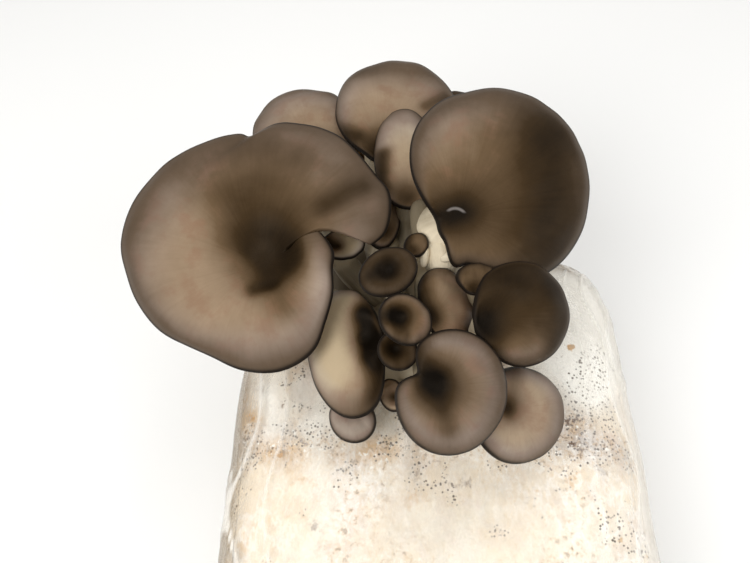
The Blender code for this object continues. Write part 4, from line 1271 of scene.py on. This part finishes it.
def base_piece(directions):
    """The fused base: an ellipsoid with a lumpy skin and a swelling toward each stem, and a low mat."""
    columns, rows = BASE_GRID
    u = np.linspace(0.0, 2 * pi, columns)[None, :]
    v = np.linspace(0.0, pi, rows)[:, None]
    sphere = np.stack([np.sin(v) * np.cos(u), np.sin(v) * np.sin(u), np.cos(v) + 0.0 * u], axis=-1)
    close = np.clip(sphere @ directions.T, -1.0, 1.0)
    swell = 0.10 * np.exp(-(1.0 - close) / 0.03).sum(-1).clip(0.0, 1.6)
    lumps = 0.035 * ripple(sphere, 0.9, 3) + 0.012 * ripple(sphere, 0.3, 4)
    points = sealed(BASE_CENTRE + BASE_RADII * sphere * (BASE_SHRINK + swell + lumps)[..., None])
    radial = np.stack([sphere[..., 0], sphere[..., 1], 0.25 + 0.0 * sphere[..., 2]], axis=-1)
    mat, around = flesh_lump(*MAT, 5)
    # Painted shade: the base darker toward the back, and the mat in full shade.
    shades = [0.6 + 0.4 * ramp(points[..., 1], *BASE_SHADING), 1.0 + 0.0 * mat[..., 0]]
    values = {"radial": [radial, around], "gill": [0.0 * shade for shade in shades], "shade": shades}
    return woven("fused_base", [points, mat], values)


def length_setting(name, description, default, low=0.0, precision=4, **limits):
    """A length that a user would change."""
    return FloatProperty(name=name, description=description, default=default, min=low, unit="LENGTH",
                         precision=precision, **limits)


def share_setting(name, description, default, high=1.0):
    """A share from 0 up to a limit."""
    return FloatProperty(name=name, description=description, default=default, min=0.0, max=high,
                         subtype="FACTOR")


def count_setting(name, description, default, low):
    """A whole number from a least one up."""
    return IntProperty(name=name, description=description, default=default, min=low)


def power_setting(name, description, default):
    """The power of a light."""
    return FloatProperty(name=name, description=description, default=default, min=0.0, unit="POWER")


def colour_setting(name, description, *default):
    """A colour, in linear red, green and blue."""
    return FloatVectorProperty(name=name, description=description, default=default, subtype="COLOR")


class MUSHROOM_PG_settings(PropertyGroup):
    """Sizes and colours of the mushrooms."""
    gill_spacing: length_setting("Gill spacing", "Distance between gills at the margin", 0.0015, 0.0008)
    gill_depth: share_setting("Gill depth", "Share of the flesh that the gills take up", 0.62, 0.9)
    margin_wave: share_setting("Margin wave", "How much the margin waves, for a cap's size", 0.016, 0.1)
    margin_roll: share_setting("Margin roll", "How far the margin turns down, for a cap's size", 0.03, 0.2)
    skin_relief: length_setting("Skin relief", "Height of the slow lumps in the skin", 0.0003)
    stem_rows: count_setting("Stem rows", "Rings along a stem", 40, 8)
    stem_columns: count_setting("Stem columns", "Points round a stem", 60, 12)
    stem_ridges: count_setting("Stem ridges", "Ridges that run down a stem from the gills", 20, 0)
    stem_groove: share_setting("Stem groove", "Depth between the ridges, for a stem's radius", 0.012, 0.3)
    skin_pale: colour_setting("Pale skin", "Skin at its palest", 0.420, 0.330, 0.215)
    skin_tan: colour_setting("Tan skin", "Skin between hub and margin", 0.265, 0.190, 0.124)
    skin_brown: colour_setting("Brown skin", "Skin nearer the hub", 0.108, 0.069, 0.037)
    skin_dark: colour_setting("Dark skin", "Skin round the hub", 0.037, 0.0215, 0.0090)
    skin_black: colour_setting("Hub", "Skin in the hub", 0.0040, 0.0028, 0.0018)
    rust: colour_setting("Rust mottle", "Reddish mottling", 0.200, 0.108, 0.066)
    margin: FloatVectorProperty(
        name="Margin", description="What the skin's colour is multiplied by toward the margin",
        default=(0.92, 1.0, 1.24))
    # Margin darkness is partly the skin's own colour and partly painted shade where the margin turns down.
    margin_dark: share_setting("Margin darkness", "How much darker the skin is at the margin", 0.34)
    margin_growth: length_setting("Margin growth", "How far the margin has grown past its solid's", 0.0011,
                                  max=0.003)
    # The rim line is partly the margin's own dark edge and partly painted contact shadow where caps overlap.
    rim_width: length_setting("Rim width", "Width of the dark line along the margin", 0.0010, 0.0002)
    rim: colour_setting("Rim", "Dark line along the margin", 0.012, 0.009, 0.007)
    # Colour of the painted highlight in the second cap's hub.
    glint: colour_setting("Glint", "Wet glint in the second cap's hub", 0.25, 0.225, 0.21)
    gill: colour_setting("Gills", "Edges of the gills", 0.62, 0.52, 0.37)
    gill_shadow: colour_setting("Between gills", "Flesh between the gills", 0.30, 0.22, 0.13)
    flesh: colour_setting("Flesh", "Stem flesh", 0.78, 0.68, 0.50)
    flesh_shade: colour_setting("Shaded flesh", "Darker streaks in the stem", 0.52, 0.42, 0.28)
    # The colour of painted shade on the stems and the base.
    foot: colour_setting("Foot", "Stem flesh near the base", 0.105, 0.078, 0.040)


class GROWBAG_PG_settings(PropertyGroup):
    """Sizes and colours of the bag and its block."""
    crease_height: length_setting("Crease height", "Height of the film's creases", 0.0014)
    film_wall: length_setting("Film wall", "Thickness of the film", 0.00025, 0.00005, 5)
    film: colour_setting("Film", "Colour of the film where it is creased", 0.95, 0.925, 0.87)
    film_edge: colour_setting("Film edge", "Colour of the film where it is seen edge on", 0.36, 0.28, 0.18)
    film_body: share_setting("Film body", "How much of the film shows where it faces the eye", 0.0)
    mycelium: colour_setting("Mycelium", "White mycelium", 0.88, 0.825, 0.715)
    mycelium_cream: colour_setting("Cream mycelium", "Creamier patches", 0.80, 0.68, 0.515)
    # Colour of pale patches and of painted light on the block.
    bleached: colour_setting("Bleached", "Blank bright patches", 0.99, 0.975, 0.92)
    # Grey of the bruises, also used for painted shade along the block's edges and far corner.
    bruise: colour_setting("Bruise", "Grey patches", 0.42, 0.345, 0.30)
    blush: colour_setting("Blush", "Pinkish patches", 0.76, 0.64, 0.56)
    # Colour of the painted shade on the block behind the cluster.
    wet: colour_setting("Wet", "Damp brown round the back of the cluster", 0.075, 0.052, 0.024)
    straw: colour_setting("Straw", "Straw-coloured stains", 0.62, 0.40, 0.18)
    amber: colour_setting("Amber", "Amber spots", 0.52, 0.25, 0.025)
    stain: colour_setting("Stain", "Brown stains", 0.13, 0.065, 0.028)
    speck: colour_setting("Specks", "Dark specks of sawdust", 0.055, 0.034, 0.022)


class GROWBAG_PG_stage(PropertyGroup):
    """The floor and the light."""
    floor: colour_setting("Floor", "Colour of the floor", 0.88, 0.88, 0.87)
    key: power_setting("Key light", "Power of the key light", 13.0)
    fill: power_setting("Fill light", "Power of the fill light", 5.5)
    top: power_setting("Top light", "Power of the top light", 6.5)
    air: FloatProperty(
        name="Air light", description="Strength of the light from all round", default=0.40, min=0.0)


class GROWBAG_OT_block(Operator):
    """Build the block of mycelium"""
    bl_idname = "growbag.block"
    bl_label = "Block"

    def execute(self, context):
        material = block_material(context.scene.growbag)
        new_piece("mycelium_block", block_piece(), material, "substrate_block")
        return {"FINISHED"}


class GROWBAG_OT_film(Operator):
    """Build the film bag round the block"""
    bl_idname = "growbag.film"
    bl_label = "Film"

    def execute(self, context):
        settings = context.scene.growbag
        piece = new_piece("film_bag", film_piece(settings), film_material(settings), "bag")
        wall = piece.modifiers.new("wall", "SOLIDIFY")
        wall.thickness = settings.film_wall
        wall.offset = -1.0
        return {"FINISHED"}


class GROWBAG_OT_base(Operator):
    """Build the fused base of the cluster"""
    bl_idname = "growbag.base"
    bl_label = "Base"

    def execute(self, context):
        starts = np.array([(control[0] - BASE_CENTRE) / BASE_RADII for control in stem_controls().values()])
        material = flesh_material("base_flesh", context.scene.mushroom)
        new_piece("fused_base", base_piece(unit(starts)), material, "cluster_base")
        return {"FINISHED"}


class GROWBAG_OT_stems(Operator):
    """Build the stems"""
    bl_idname = "growbag.stems"
    bl_label = "Stems"

    def execute(self, context):
        settings = context.scene.mushroom
        flesh = flesh_material("stem_flesh", settings)
        controls = stem_controls()
        for mushroom in GROWN:
            grids, values = stem_grids(mushroom, controls[mushroom.name], settings)
            name = "grown_stem_" + mushroom.name
            new_piece(name, woven(name, grids, values), flesh, "stem_" + mushroom.name)
        return {"FINISHED"}


class GROWBAG_OT_caps(Operator):
    """Build the caps with their gills"""
    bl_idname = "growbag.caps"
    bl_label = "Caps"

    def execute(self, context):
        settings = context.scene.mushroom
        skin = cap_material("cap_skin_grown", settings)
        for mushroom in GROWN:
            grids, values = cap_grids(mushroom, settings)
            name = "grown_cap_" + mushroom.name
            new_piece(name, woven(name, grids, values), skin, "cap_" + mushroom.name)
        return {"FINISHED"}


class GROWBAG_OT_stage(Operator):
    """Lay the floor, set the lights and place the camera"""
    bl_idname = "growbag.stage"
    bl_label = "Stage"

    def execute(self, context):
        settings = context.scene.growbag_stage
        scene = context.scene
        mesh = bpy.data.meshes.new("floor")
        corners = [(x * FLOOR_HALF, y * FLOOR_HALF, 0.0) for x, y in ((-1, -1), (1, -1), (1, 1), (-1, 1))]
        mesh.from_pydata(corners, [], [(0, 1, 2, 3)])
        floor = bpy.data.objects.new("floor", mesh)
        scene.collection.objects.link(floor)
        material, board, shader = new_material("floor_paint")
        grain = board.node("ShaderNodeTexCoord", output=3).noise(3.0)
        board.feed(shader, {"Base Color": (*settings.floor, 1.0), "Roughness": 0.75 + (grain - 0.5) * 0.1})
        mesh.materials.append(material)
        for name, place, size in LIGHTS:
            light = bpy.data.lights.new(name, "AREA")
            light.shape = "DISK"
            light.size = size
            light.energy = getattr(settings, name)
            lamp = bpy.data.objects.new(name, light)
            lamp.location = place
            lamp.rotation_euler = (Vector(LIGHTS_AIM) - Vector(place)).to_track_quat("-Z", "Y").to_euler()
            scene.collection.objects.link(lamp)
        world = bpy.data.worlds.new("air")
        world.use_nodes = True
        background = world.node_tree.nodes["Background"]
        background.inputs["Color"].default_value = AIR_COLOUR
        background.inputs["Strength"].default_value = settings.air
        scene.world = world
        scene.view_settings.view_transform = "Standard"
        lens = bpy.data.cameras.new("camera")
        lens.lens = CAMERA_LENS
        lens.sensor_width = CAMERA_SENSOR
        camera = bpy.data.objects.new("camera", lens)
        camera.location = CAMERA_PLACE
        camera.rotation_euler = (radians(CAMERA_TILT), 0.0, 0.0)
        scene.collection.objects.link(camera)
        scene.camera = camera
        return {"FINISHED"}


class GROWBAG_PT_panel(Panel):
    """The grow bag's pieces and settings"""
    bl_idname = "GROWBAG_PT_panel"
    bl_label = "Grow bag"
    bl_space_type = "VIEW_3D"
    bl_region_type = "UI"
    bl_category = "Grow bag"

    def draw(self, context):
        layout = self.layout
        for operator in OPERATORS:
            layout.operator(operator.bl_idname)
        for group in (context.scene.growbag, context.scene.mushroom, context.scene.growbag_stage):
            box = layout.box()
            for name in group.bl_rna.properties.keys():
                if name not in ("rna_type", "name"):
                    box.prop(group, name)


GROUPS = {"growbag": GROWBAG_PG_settings, "mushroom": MUSHROOM_PG_settings, "growbag_stage": GROWBAG_PG_stage}
OPERATORS = (GROWBAG_OT_stage, GROWBAG_OT_block, GROWBAG_OT_film, GROWBAG_OT_base, GROWBAG_OT_stems,
             GROWBAG_OT_caps)


def register():
    """Register the classes and hang the settings on the scene."""
    for made in (*GROUPS.values(), *OPERATORS, GROWBAG_PT_panel):
        bpy.utils.register_class(made)
    for name, group in GROUPS.items():
        setattr(bpy.types.Scene, name, PointerProperty(type=group))


def unregister():
    """Take the settings and the classes away again."""
    for name in GROUPS:
        delattr(bpy.types.Scene, name)
    for made in reversed((*GROUPS.values(), *OPERATORS, GROWBAG_PT_panel)):
        bpy.utils.unregister_class(made)


def main():
    """Build every piece."""
    register()
    bpy.ops.growbag.stage()
    bpy.ops.growbag.block()
    bpy.ops.growbag.film()
    bpy.ops.growbag.base()
    bpy.ops.growbag.stems()
    bpy.ops.growbag.caps()


if __name__ == "__main__":
    main()
